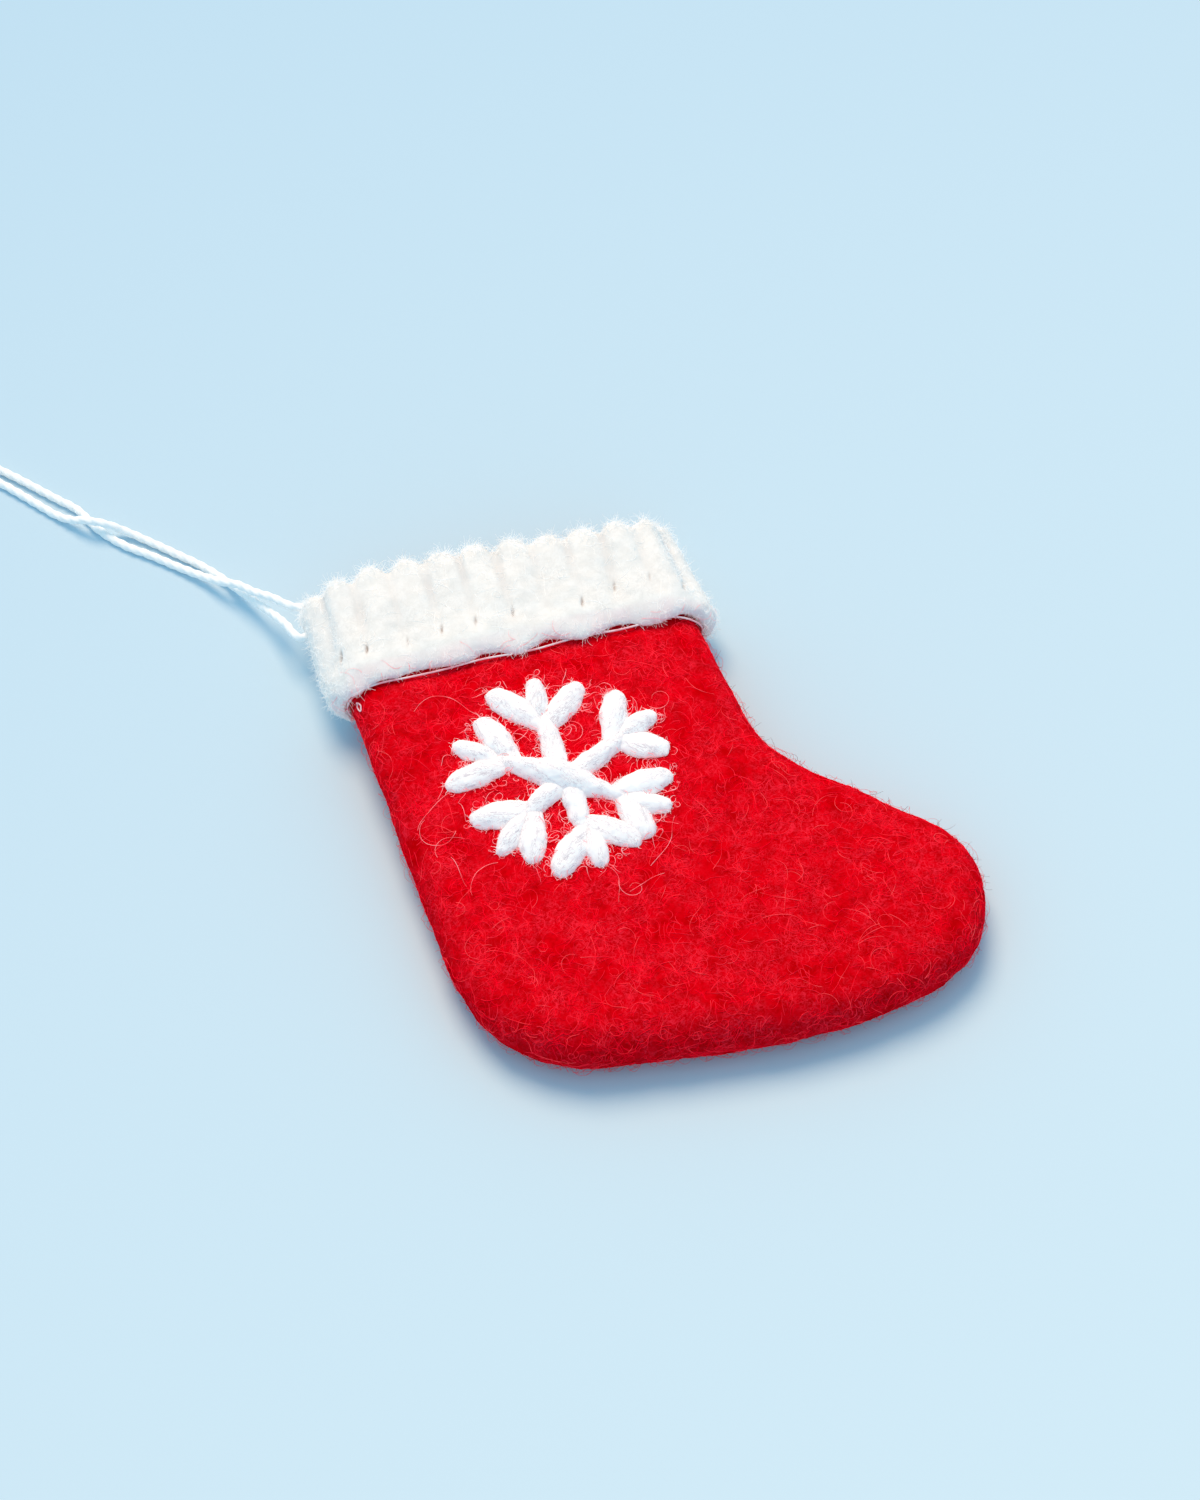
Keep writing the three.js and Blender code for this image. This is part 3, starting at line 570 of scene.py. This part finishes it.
# %% Pull the hem down
# The droop is in millimetres. Each corner has a place, a reach and its way out and down.
droop_height, droop_size = 1.6 * mm, 6 * mm
droop_mean, droop_change = 1.3, 1.8
corner_rise = 18 * mm
corner_pulls = [(min(v.co.x for v in felt_cuff.verts), 3.2 * mm, -0.8 * mm, 2.0 * mm),
                (max(v.co.x for v in felt_cuff.verts), 4.5 * mm, 1.5 * mm, 0.6 * mm)]
blush_height, blush_size, blush_shift = 2.6 * mm, 3 * mm, Vector((2, 2, 2))
blush_mean, blush_change = 0.5, 0.8
slit_shade_paint = felt_cuff.verts.layers.float.new("slit")
blush_paint = felt_cuff.verts.layers.float.new("blush")
felt_cuff.normal_update()
for point in felt_cuff.verts:
    over_hem = point.co.y - hem_height
    if over_hem < droop_height:
        droop = max(0, droop_mean + droop_change * noise.noise(point.co / droop_size))
        point.co.y -= droop * mm * (1 - max(0, over_hem) / droop_height)
    for corner, reach, out, down in corner_pulls:
        pull = math.exp(-((point.co.x - corner) / reach) ** 2)
        pull *= max(0, 1 - max(0, over_hem) / corner_rise)
        point.co.x += out * pull * max(0, math.copysign(point.normal.x, point.normal.x * out))
        point.co.y -= down * pull
    blush = blush_mean + blush_change * noise.noise(point.co / blush_size + blush_shift)
    near_hem = max(0, 1 - max(0, over_hem) / blush_height)
    point[blush_paint] = near_hem * max(0, min(1, blush))
print("lowest point of the hem:", round(min(v.co.y for v in felt_cuff.verts) / mm, 1), "mm")

# %% Press the slits in
# Some of them have closed, and each lies a few tenths of a millimetre or more off its hole.
slit_width, slit_length, slit_depth, slit_lean = 0.2 * mm, 0.9 * mm, 0.7 * mm, 0.18
slit_share, sideways, upwards, strengths = 0.75, (-0.5, 0.5), (-0.5, 2.2), (0.15, 1)
reach_across, reach_along = 2 * mm, 3 * mm
chance = random.Random(8)
slits = [(hole + Vector((chance.uniform(*sideways), chance.uniform(*upwards), 0)) * mm,
          chance.uniform(*strengths))
         for hole in needle_holes if hole.z > leg_middle and chance.random() < slit_share]
for point in felt_cuff.verts:
    for slit, strength in slits:
        away = point.co - slit
        near = abs(away.y) < reach_along and abs(away.x) < reach_across
        if near and point.co.z > leg_middle:
            across = (away.x - away.y * slit_lean) / slit_width
            along = away.y / slit_length
            deep = strength * math.exp(-across ** 2 - along ** 2)
            # The slit's darkness is also kept as painted shade inside it.
            point[slit_shade_paint] = max(point[slit_shade_paint], deep)
            point.co = point.co - point.normal * slit_depth * deep
print("slits:", len(slits))

# %% Make the cuff
# The groove and slit tints are painted shade in the grooves and inside the slits; the blush is the
# red fibres along the hem.
cuff_wool = wool("cuff_wool", deep=(0.85, 0.843, 0.82), full=(0.905, 0.90, 0.88),
                 thread=(0.74, 0.735, 0.72), thread_share=0.45, scales=(300, 520, 800),
                 width=0.03, bump=0.2, glow=0.4,
                 tints=[("groove", (0.76, 0.755, 0.745)), ("blush", (0.93, 0.72, 0.74)),
                        ("slit", (0.34, 0.29, 0.28))])
cuff = shown("felt_cuff", mesh_of(felt_cuff, "felt_cuff"))
cuff.data.materials.append(cuff_wool)
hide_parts("cuff")
print("cuff faces:", len(cuff.data.polygons))

# %% [markdown]
# ## The sewing threads
# The running thread and the thin thread along the hem are refined copies of their solids,
# since their routes are right as they are. The first is sunk a little way into the wool. The
# hem's thread has taken some red from the felt, so it is a little pink. It wanders up and
# down along the hem, and its end lies on the felt in a small loop.

# %% Refine the threads
pink_cotton, pink_shader, node, links = finish_of("pink_cotton", 0.85, gloss=0.05)
where = node("TexCoord").outputs["Object"]
rub = node("TexNoise", {"Vector": where}, Scale=420, Detail=3)
drift_range = (0.35, 0.65)
clean_cotton, rubbed_cotton = (0.95, 0.80, 0.82), (0.93, 0.38, 0.44)
rubbed = mixed(node, eased(node, rub.outputs["Fac"], *drift_range), clean_cotton, rubbed_cotton)
links.new(rubbed, pink_shader.inputs["Base Color"])
whip_thread = refined("rim_whip_thread", "rim_whip_stitch", cotton)
sunk_share, sunk_depth = 0.89, 0.5 * mm
for point in whip_thread.data.vertices:
    point.co.z = leg_middle + (point.co.z - leg_middle) * sunk_share
    point.co.y -= sunk_depth
hem_thread = refined("hem_sewing_thread", "hem_thread", pink_cotton)
thread_drop, thread_sway, thread_rise = 0.45 * mm, 0.9 * mm, 0.15 * mm
sway_across, sway_through = 8 * mm, 30 * mm
for point in hem_thread.data.vertices:
    sway = noise.noise(Vector((point.co.x / sway_across, 0, point.co.z / sway_through)))
    point.co.y -= thread_drop + thread_sway * sway
    point.co.z += math.copysign(thread_rise, point.co.z - leg_middle)
print("thread faces:", len(whip_thread.data.polygons), len(hem_thread.data.polygons))

# %% The loose end of the hem's thread
end_place, end_thickness, loop_radius = Vector((-43.4, 25.7, 11)) * mm, 0.24 * mm, 0.75 * mm
loop_points, loop_turns, loop_start, end_sides = 20, 1.15, 1.4, 8
end_line = []
for k in range(loop_points):
    share = k / (loop_points - 1)
    angle = loop_start + share * loop_turns * 2 * math.pi
    place = end_place + Vector((math.cos(angle), math.sin(angle), 0)) * loop_radius
    skin, normal = pouch_tree.find_nearest(place)[:2]
    end_line.append(skin + normal * end_thickness * (0.5 + share))
end_profile = round_profile(end_sides, end_thickness / 2)
thread_end = shown("hem_thread_loop", facing_out(swept("hem_loop", [end_line], end_profile)))
thread_end.data.materials.append(pink_cotton)
thread_end.data.shade_smooth()
print("loop faces:", len(thread_end.data.polygons))

# %% [markdown]
# ## The snowflake
# Every arm is a few loose stitches of thick, soft yarn. Each stitch is fat in the middle and
# drawn in where it dips into the felt, and neighbours press into each other at the forks.
# The stitch's solid gives its place and its direction. A bar made here with bmesh is longer
# and fuller, so that the forks close up and the stems meet in the middle, as they do in soft
# yarn. It is a ball that is stretched from end to end and let down on to the felt under it,
# so that it has no hollow below.

# %% Measure the stitches
def run_of(solid):
    """The two ends of a stitch's solid, seen from above, and its width."""
    points = np.array([v.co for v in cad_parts[solid].data.vertices])
    middle = (points[:, :2].max(0) + points[:, :2].min(0)) / 2
    _, _, ways = np.linalg.svd(points[:, :2] - points[:, :2].mean(0), full_matrices=False)
    along, across = (points[:, :2] - middle) @ ways[0], (points[:, :2] - middle) @ ways[1]
    start, end = along.min(), along.max()
    side = (across.max() + across.min()) / 2
    foot = Vector((*(middle + ways[0] * start + ways[1] * side), 0))
    tip = Vector((*(middle + ways[0] * end + ways[1] * side), 0))
    return foot, tip, across.max() - across.min()


long_foot, long_tip, _ = run_of("snowflake_long_stitch")
flake_middle = (long_foot + long_tip) / 2
flake_nodes = sorted(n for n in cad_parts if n.startswith("snowflake"))
print("stitches:", len(flake_nodes))

# %% One yarn stitch
bar_sides, bar_rings, bluntness, full_from, belly_reach = 18, 18, 0.71, 0.6, 0.2
least_ring, look_from, below_felt = 1e-9, 0.04, 0.5 * mm


def yarn_bar(foot, tip, width, height, foot_share, belly):
    """A soft bar from foot to tip that lies on the felt.

    Foot share is its width at the foot and belly what it gains in the middle, as shares."""
    shape = bmesh.new()
    bmesh.ops.create_uvsphere(shape, u_segments=bar_sides, v_segments=bar_rings, radius=1)
    side = up.cross(tip - foot).normalized()
    for point in shape.verts:
        share = (point.co.z + 1) / 2
        ring = math.sqrt(max(least_ring, 1 - point.co.z ** 2))
        full = ring ** bluntness * (foot_share + (1 - foot_share) * min(1, share / full_from))
        full *= 1 + belly * math.exp(-((share - 0.5) / belly_reach) ** 2)
        across, over = point.co.x / ring * full, point.co.y / ring * full
        place = foot.lerp(tip, share) + side * across * width / 2
        skin = pouch_tree.ray_cast(place + up * look_from, -up)[0].z
        place.z = skin + over * (height if over > 0 else below_felt)
        point.co = place
    bmesh.ops.recalc_face_normals(shape, faces=shape.faces[:])
    return shape


# %% Yarn wool, whose fibres run along each stitch
strand_slope = 0.22


def strands(shape, foot, tip):
    """Keeps on each point where it lies in the stitch, in millimetres.

    The way along the stitch counts for less, so that the fibres are drawn long."""
    along = (tip - foot).normalized()
    side = up.cross(along)
    laid = shape.verts.layers.float_vector.new("strand")
    for point in shape.verts:
        away = (point.co - foot) / mm
        run = away.dot(along)
        point[laid] = Vector((run * strand_slope + foot.x / mm,
                               away.dot(side) + run * strand_slope, away.z))


# The yarn gets a little painted glow, which lifts its shaded sides.
yarn_wool = wool("yarn_wool", deep=(0.95, 0.92, 0.925), full=(0.98, 0.955, 0.955),
                 thread=(0.50, 0.44, 0.49), thread_share=0.65, scales=(1.7, 3.1), width=0.055,
                 bump=0.25, cloud_scale=1.4, grain_scale=5, along="strand", glow=0.4, painted_glow=0.12)
print("nodes in the yarn wool:", len(yarn_wool.node_tree.nodes))

# %% Lay the stitches
# For each kind: how far it reaches past its solid's foot and tip in mm, how much wider it is,
# its height in mm, its foot share and its belly.
stitch_forms = {"prong": (2.6, -0.2, 1.12, 1.8, 0.66, 0.0),
                "stem": (5.2, 1.5, 1.2, 2.0, 1.0, 0.0),
                "long": (1.2, 1.2, 1.15, 2.3, 0.95, 0.55)}
yarn_face, yarn_rounds = 0.26 * mm, 5
yarn_bumps = [(2.0 * mm, 0.26 * mm), (0.7 * mm, 0.12 * mm)]
stitch_pieces = []
for solid in flake_nodes:
    foot, tip, width = run_of(solid)
    if (foot - flake_middle).length > (tip - flake_middle).length:
        foot, tip = tip, foot
    along = (tip - foot).normalized()
    kind = next(k for k in stitch_forms if k in solid)
    past_foot, past_tip, wider, height, foot_share, belly = stitch_forms[kind]
    foot, tip = foot - along * past_foot * mm, tip + along * past_tip * mm
    bar = yarn_bar(foot, tip, width * wider, height * mm, foot_share, belly)
    bar = roughened(even_faces(bar, solid + "_yarn", yarn_face, yarn_rounds), yarn_bumps)
    strands(bar, foot, tip)
    stitch = shown(solid + "_yarn", mesh_of(bar, solid + "_yarn"))
    stitch.data.materials.append(yarn_wool)
    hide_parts(solid)
    stitch_pieces.append(stitch)
print("stitch faces:", sum(len(s.data.polygons) for s in stitch_pieces))

# %% [markdown]
# ## Stray fibres
# Wool felt is never quite smooth: loose curly hairs stand out of it, and at the outline they
# make a thin halo. A particle system can't be kept in a plain model, so each hair is a line
# that is swept as a three-sided thread. Some hairs walk over the felt, turning as they go,
# and the short fuzz springs from it and curls, up and away or back into the wool.

# %% Two ways for a hair to grow
# The root's depth is in millimetres, and the other three are shares.
arch_start, arch_trim, new_bend, root_depth = 0.15, 0.7, 0.45, 0.1


def walking(tree, spot, normal, length, points, curl, high, chance):
    """A hair that lies on the surface, turning as it goes, and arches up to a height."""
    step = length / (points - 1)
    heading = Vector([chance.gauss(0, 1) for _ in range(3)]).cross(normal).normalized()
    bend = chance.gauss(0, curl)
    line, at = [], spot
    for k in range(points):
        arch = math.sin(math.pi * (k + arch_start) / (points - arch_trim))
        line.append(at + normal * high * arch)
        bend += chance.gauss(0, curl * new_bend)
        heading = (Matrix.Rotation(bend * step / mm, 3, normal) @ heading).normalized()
        at, normal, _, _ = tree.find_nearest(at + heading * step)
        heading = (heading - normal * heading.dot(normal)).normalized()
    return line


def springing(tree, spot, normal, length, points, curl, lean, chance):
    """A hair that sets off from just under the surface and curls about a random line.

    The lean is counted in metres, so even a small one lays the start nearly flat."""
    step = length / (points - 1)
    sideways = Vector([chance.gauss(0, 1) for _ in range(3)]).cross(normal).normalized()
    heading = (normal + sideways * lean / mm).normalized()
    axis = Vector([chance.gauss(0, 1) for _ in range(3)]).normalized()
    bend = chance.gauss(0, curl)
    line, at = [], spot - normal * root_depth * mm
    for k in range(points):
        line.append(at)
        heading = (Matrix.Rotation(bend * step / mm, 3, axis) @ heading).normalized()
        at = at + heading * step
    return line


# %% Brush hairs over a piece
# A hair may grow only where nothing lies over it, from 0.4 mm to 30 mm above the spot.
hair_sides, tries_each, clear_from, clear_to = 3, 40, 0.4, 30 * mm
thinnest, taper_start, taper_power = 0.6, 0.25, 0.7


def brushed(name, carriers, grow, allowed, finish, seed, count, length, points, curl,
            lift, thick):
    """Hairs that grow from the carriers' outer faces, wherever they are allowed to.

    Length and lift are ranges. Lift is the height of a walking hair and the lean of a
    springing one, curl how fast it turns, in radians per millimetre."""
    chance = random.Random(seed)
    trees, spots, areas = [], [], []
    for carrier in carriers:
        trees.append(tree_of(carrier))
        for p in carrier.data.polygons:
            spots.append((len(trees) - 1, p.center.copy(), p.normal.copy()))
            areas.append(p.area)
    bounds = np.cumsum(areas)
    lines, tries = [], 0
    while len(lines) < count and tries < count * tries_each:
        tries += 1
        at, spot, normal = spots[int(np.searchsorted(bounds, chance.random() * bounds[-1]))]
        if not allowed(spot, normal, chance):
            continue
        if trees[at].ray_cast(spot + normal * clear_from * mm, normal, clear_to)[0]:
            continue
        line = grow(trees[at], spot, normal, chance.uniform(*length), points, curl,
                    chance.uniform(*lift), chance)
        if all(p.z > thick for p in line):
            lines.append(line)
    profile = round_profile(hair_sides, thick / 2)
    along = [min(1, taper_start + k / (points - 1)) for k in range(points)]
    taper = [thinnest + (1 - thinnest) * math.sin(math.pi * a) ** taper_power for a in along]
    piece = shown(name, facing_out(swept(name, lines, profile, thinness=taper)))
    piece.data.materials.append(finish)
    piece.data.shade_smooth()
    print(name, len(lines), "hairs,", len(piece.data.polygons), "faces")


# %% [markdown]
# A real fibre is partly clear, so light passes through it and it is seldom darker than the
# felt under it. A thin closed thread blocks the light, and its far side turns grey. A clear
# shader would need many bounces of light in threads this thin, so each fibre gives off a
# little light of its own colour instead. That is a liberty, and a small one.

# %% The fibres' colours
def hair(name, dark, light, painted_glow=0.0):
    """One plain fibre colour that drifts from hair to hair."""
    material, shader, node, links = finish_of(name, 0.9, painted_glow=painted_glow)
    where = node("TexCoord").outputs["Object"]
    drift = node("TexNoise", {"Vector": where}, Scale=330, Detail=2)
    colour = mixed(node, eased(node, drift.outputs["Fac"], *drift_range), dark, light)
    links.new(colour, shader.inputs["Base Color"])
    links.new(colour, shader.inputs["Emission Color"])
    return material


red_hair = hair("red_hair", (0.90, 0.0, 0.012), (0.95, 0.004, 0.025), painted_glow=0.1)
lit_hair = hair("lit_hair", (0.96, 0.003, 0.022), (0.98, 0.028, 0.055), painted_glow=0.16)
bright_hair = hair("bright_hair", (0.98, 0.015, 0.04), (0.98, 0.09, 0.11), painted_glow=0.3)
pink_hair = hair("pink_hair", (0.97, 0.14, 0.18), (0.98, 0.46, 0.49), painted_glow=0.28)
# This hair is painted shade: red fibres on the edge, darkened as if seen against the light.
shaded_red_hair = hair("shaded_red_hair", (0.10, 0.02, 0.03), (0.30, 0.02, 0.03))
white_hair = hair("white_hair", (0.92, 0.915, 0.905), (0.98, 0.98, 0.975), painted_glow=0.2)
print("materials:", len(bpy.data.materials))

# %% [markdown]
# Where a hair may start is asked of small functions of the spot, its normal and the random
# numbers: below the hem for the red wool, round the rim of the yarn for the loops that the
# needle pulled up, and mostly on the edges for the fuzz, where it shows.

# %% Where hairs may start on the red wool
yarn_tree = tree_of(*stitch_pieces)
hem_margin, flake_inside, flake_reach = 0.5 * mm, 9 * mm, 24 * mm
edge_tilt, facing_up, facing_right = 0.55, 0.6, 0.5
share_on_flat, clump_size, clump_spread = 0.25, 3 * mm, 0.25
yarn_gap, yarn_reach, over_table = 0.1 * mm, 0.9 * mm, 3 * mm


def from_flake(spot):
    """How far a spot lies from the snowflake's middle, seen from above."""
    return (Vector((spot.x, spot.y, 0)) - flake_middle).length


def below_hem(spot, normal, chance):
    return spot.y < hem_height - hem_margin


def on_edges(spot, normal, chance):
    there = below_hem(spot, normal, chance)
    return there and (normal.z < edge_tilt or chance.random() < share_on_flat)


def clumped(spot, normal, chance):
    there = below_hem(spot, normal, chance)
    return there and noise.noise(spot / clump_size) > chance.gauss(0, clump_spread)


def near_flake(spot, normal, chance):
    return normal.z > facing_up and flake_inside < from_flake(spot) < flake_reach


def round_yarn(spot, normal, chance):
    if normal.z < facing_up or from_flake(spot) > flake_reach:
        return False
    return yarn_gap < yarn_tree.find_nearest(spot)[3] < yarn_reach


def right_edge(spot, normal, chance):
    return normal.x > facing_right and spot.y < hem_height and spot.z > over_table


print("red spots:", len(pouch.data.polygons))

# %% Where hairs may start on the white wool
crest_band, crest_tilt, side_tilt, hem_band, hem_back = 3 * mm, 0.25, 0.6, 0.6 * mm, -0.3
wisp_band, rim_tilt = 2 * mm, 0.5


def anywhere(spot, normal, chance):
    return True


def on_crest(spot, normal, chance):
    return spot.y > crest_height - crest_band and normal.y > crest_tilt


def on_cuff_sides(spot, normal, chance):
    on_hem = spot.y < hem_height + hem_band and normal.z > hem_back
    return abs(normal.x) > side_tilt or on_hem


def at_hem(spot, normal, chance):
    return normal.z > 0 and spot.y < hem_height + wisp_band * chance.random()


def low_rims(spot, normal, chance):
    return normal.z < rim_tilt


print("white spots:", sum(len(p.data.polygons) for p in (cuff, *stitch_pieces)))

# %% The red hairs
brushed("red_flat_hairs", [pouch], walking, clumped, lit_hair, seed=1, count=4800,
        length=(1.4 * mm, 4.5 * mm), points=7, curl=0.6, lift=(0.0, 0.08 * mm), thick=0.11 * mm)
brushed("red_short_hairs", [pouch], walking, clumped, red_hair, seed=14, count=6000,
        length=(0.5 * mm, 1.8 * mm), points=4, curl=1.2, lift=(0.03 * mm, 0.12 * mm),
        thick=0.075 * mm)
brushed("red_halo_hairs", [pouch], walking, on_edges, red_hair, seed=2, count=1000,
        length=(2 * mm, 6 * mm), points=7, curl=0.5, lift=(0.4 * mm, 1.2 * mm), thick=0.05 * mm)
brushed("red_fuzz", [pouch], springing, on_edges, red_hair, seed=6, count=9000,
        length=(0.5 * mm, 1.7 * mm), points=4, curl=1.0, lift=(0.4, 1.4), thick=0.055 * mm)
brushed("bright_curls", [pouch], walking, below_hem, bright_hair, seed=3, count=400,
        length=(1.5 * mm, 7 * mm), points=10, curl=0.34, lift=(0.02 * mm, 0.2 * mm),
        thick=0.08 * mm)
brushed("long_curls", [pouch], walking, near_flake, pink_hair, seed=9, count=20,
        length=(6 * mm, 13 * mm), points=16, curl=0.2, lift=(0.2 * mm, 0.5 * mm),
        thick=0.075 * mm)
brushed("loops_at_yarn", [pouch], walking, round_yarn, pink_hair, seed=7, count=640,
        length=(1.6 * mm, 4 * mm), points=9, curl=1.1, lift=(0.3 * mm, 1.3 * mm),
        thick=0.1 * mm)
brushed("hem_wisps", [cuff], walking, at_hem, pink_hair, seed=16, count=60,
        length=(1.5 * mm, 5 * mm), points=10, curl=0.5, lift=(0.05 * mm, 0.25 * mm),
        thick=0.05 * mm)
# Painted shade: red fibres along the right edge, darkened as their backlit side.
brushed("shaded_edge_hairs", [pouch], springing, right_edge, shaded_red_hair, seed=10,
        count=300, length=(1 * mm, 3.4 * mm), points=8, curl=0.9, lift=(0.3, 1.0),
        thick=0.06 * mm)

# %% The white hairs
brushed("cuff_hairs", [cuff], walking, anywhere, white_hair, seed=4, count=300,
        length=(2 * mm, 6 * mm), points=9, curl=0.5, lift=(0.02 * mm, 0.12 * mm),
        thick=0.06 * mm)
brushed("crest_fuzz", [cuff], springing, on_crest, white_hair, seed=11, count=7000,
        length=(0.8 * mm, 2.8 * mm), points=5, curl=1.1, lift=(0.6, 1.8), thick=0.06 * mm)
brushed("cuff_side_fuzz", [cuff], springing, on_cuff_sides, white_hair, seed=15,
        count=7000, length=(0.6 * mm, 2.2 * mm), points=5, curl=1.2, lift=(0.6, 1.8),
        thick=0.06 * mm)
brushed("yarn_hairs", stitch_pieces, walking, anywhere, white_hair, seed=5,
        count=330, length=(1 * mm, 3.2 * mm), points=7, curl=0.9, lift=(0.02 * mm, 0.2 * mm),
        thick=0.06 * mm)
brushed("yarn_fuzz", stitch_pieces, springing, low_rims, white_hair, seed=12,
        count=7200, length=(0.5 * mm, 1.6 * mm), points=5, curl=2.2, lift=(0.3, 1.2),
        thick=0.075 * mm)

# %% [markdown]
# ## The table and the light
# The stocking lies on a plain pale blue table. Its far colour is painted shade, so the table
# grows a little deeper away from us. The world gives an even, bluish light from everywhere,
# and one large warm lamp far behind the stocking gives the soft shadows in front of it.
# Together they make about plain white light on whatever faces up, so a colour renders about
# as it is written, and only the shadows are bluer. The world's strength is added to the light
# directly. The lamp's power comes from the rule that a lamp of P watts at the distance d
# gives P / (pi squared times d squared).

# %% Table
table_size = 4
# The far blue is painted shade, which deepens the table away from us.
table_blue, table_far_shaded_blue = (0.670, 0.820, 0.898), (0.437, 0.630, 0.774)
away_from_us, fade_from, fade_to = (-0.2, 0.98, 0), -0.15, 0.25
table_mesh = bmesh.new()
bmesh.ops.create_grid(table_mesh, x_segments=1, y_segments=1, size=table_size)
table = linked("table", mesh_of(table_mesh, "table"))
table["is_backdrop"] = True
paint, paint_shader, node, links = finish_of("table_paint", 0.6)
where = node("TexCoord").outputs["Object"]
far = node("VectorMath", {0: where}, operation="DOT_PRODUCT")
far.inputs[1].default_value = away_from_us
fade = node("MapRange", {"Value": far.outputs["Value"]})
fade.inputs["From Min"].default_value = fade_from
fade.inputs["From Max"].default_value = fade_to
links.new(mixed(node, fade.outputs[0], table_blue, table_far_shaded_blue),
          paint_shader.inputs["Base Color"])
table.data.materials.append(paint)
print("table width:", 2 * table_size, "m")

# %% Lamp
lamp_light = Vector((0.75, 0.49, 0.31))
lamp_size, lamp_distance, lamp_height = 0.85, 1.5, math.radians(60)
towards_lamp = Vector((-0.05, 1, 0)).normalized() * math.cos(lamp_height)
towards_lamp.z = math.sin(lamp_height)
lamp_data = bpy.data.lights.new("window", "AREA")
lamp_data.shape, lamp_data.size = "DISK", lamp_size
lamp_data.energy = lamp_light[0] * (math.pi * lamp_distance) ** 2 / towards_lamp.z
lamp_data.color = lamp_light / lamp_light[0]
lamp = linked("window", lamp_data)
lamp.location = camera_target + towards_lamp * lamp_distance
lamp.rotation_mode = "QUATERNION"
lamp.rotation_quaternion = (-towards_lamp).to_track_quat("-Z", "Y")
print("lamp:", round(lamp_data.energy, 1), "W")

# %% World
room_light = (0.38, 0.64, 0.81)
world = bpy.data.worlds.new("room")
world.use_nodes = True
bpy.context.scene.world = world
sky = world.node_tree.nodes["Background"]
sky.inputs["Color"].default_value = (*room_light, 1)
sky.inputs["Strength"].default_value = 1
print("light on the table:", [round(a + b, 2) for a, b in zip(lamp_light, room_light)])

# %% [markdown]
# ## The sizes
# The box of the solids and the box of the dressed object are kept side by side, and the
# growth is printed for each of the six sides.

# %% Write the sizes and finish
low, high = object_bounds()
growth = zip([*cad_low, *high], [*low, *cad_high])
print("grew by mm:", [round((a - b) / mm, 2) for a, b in growth])
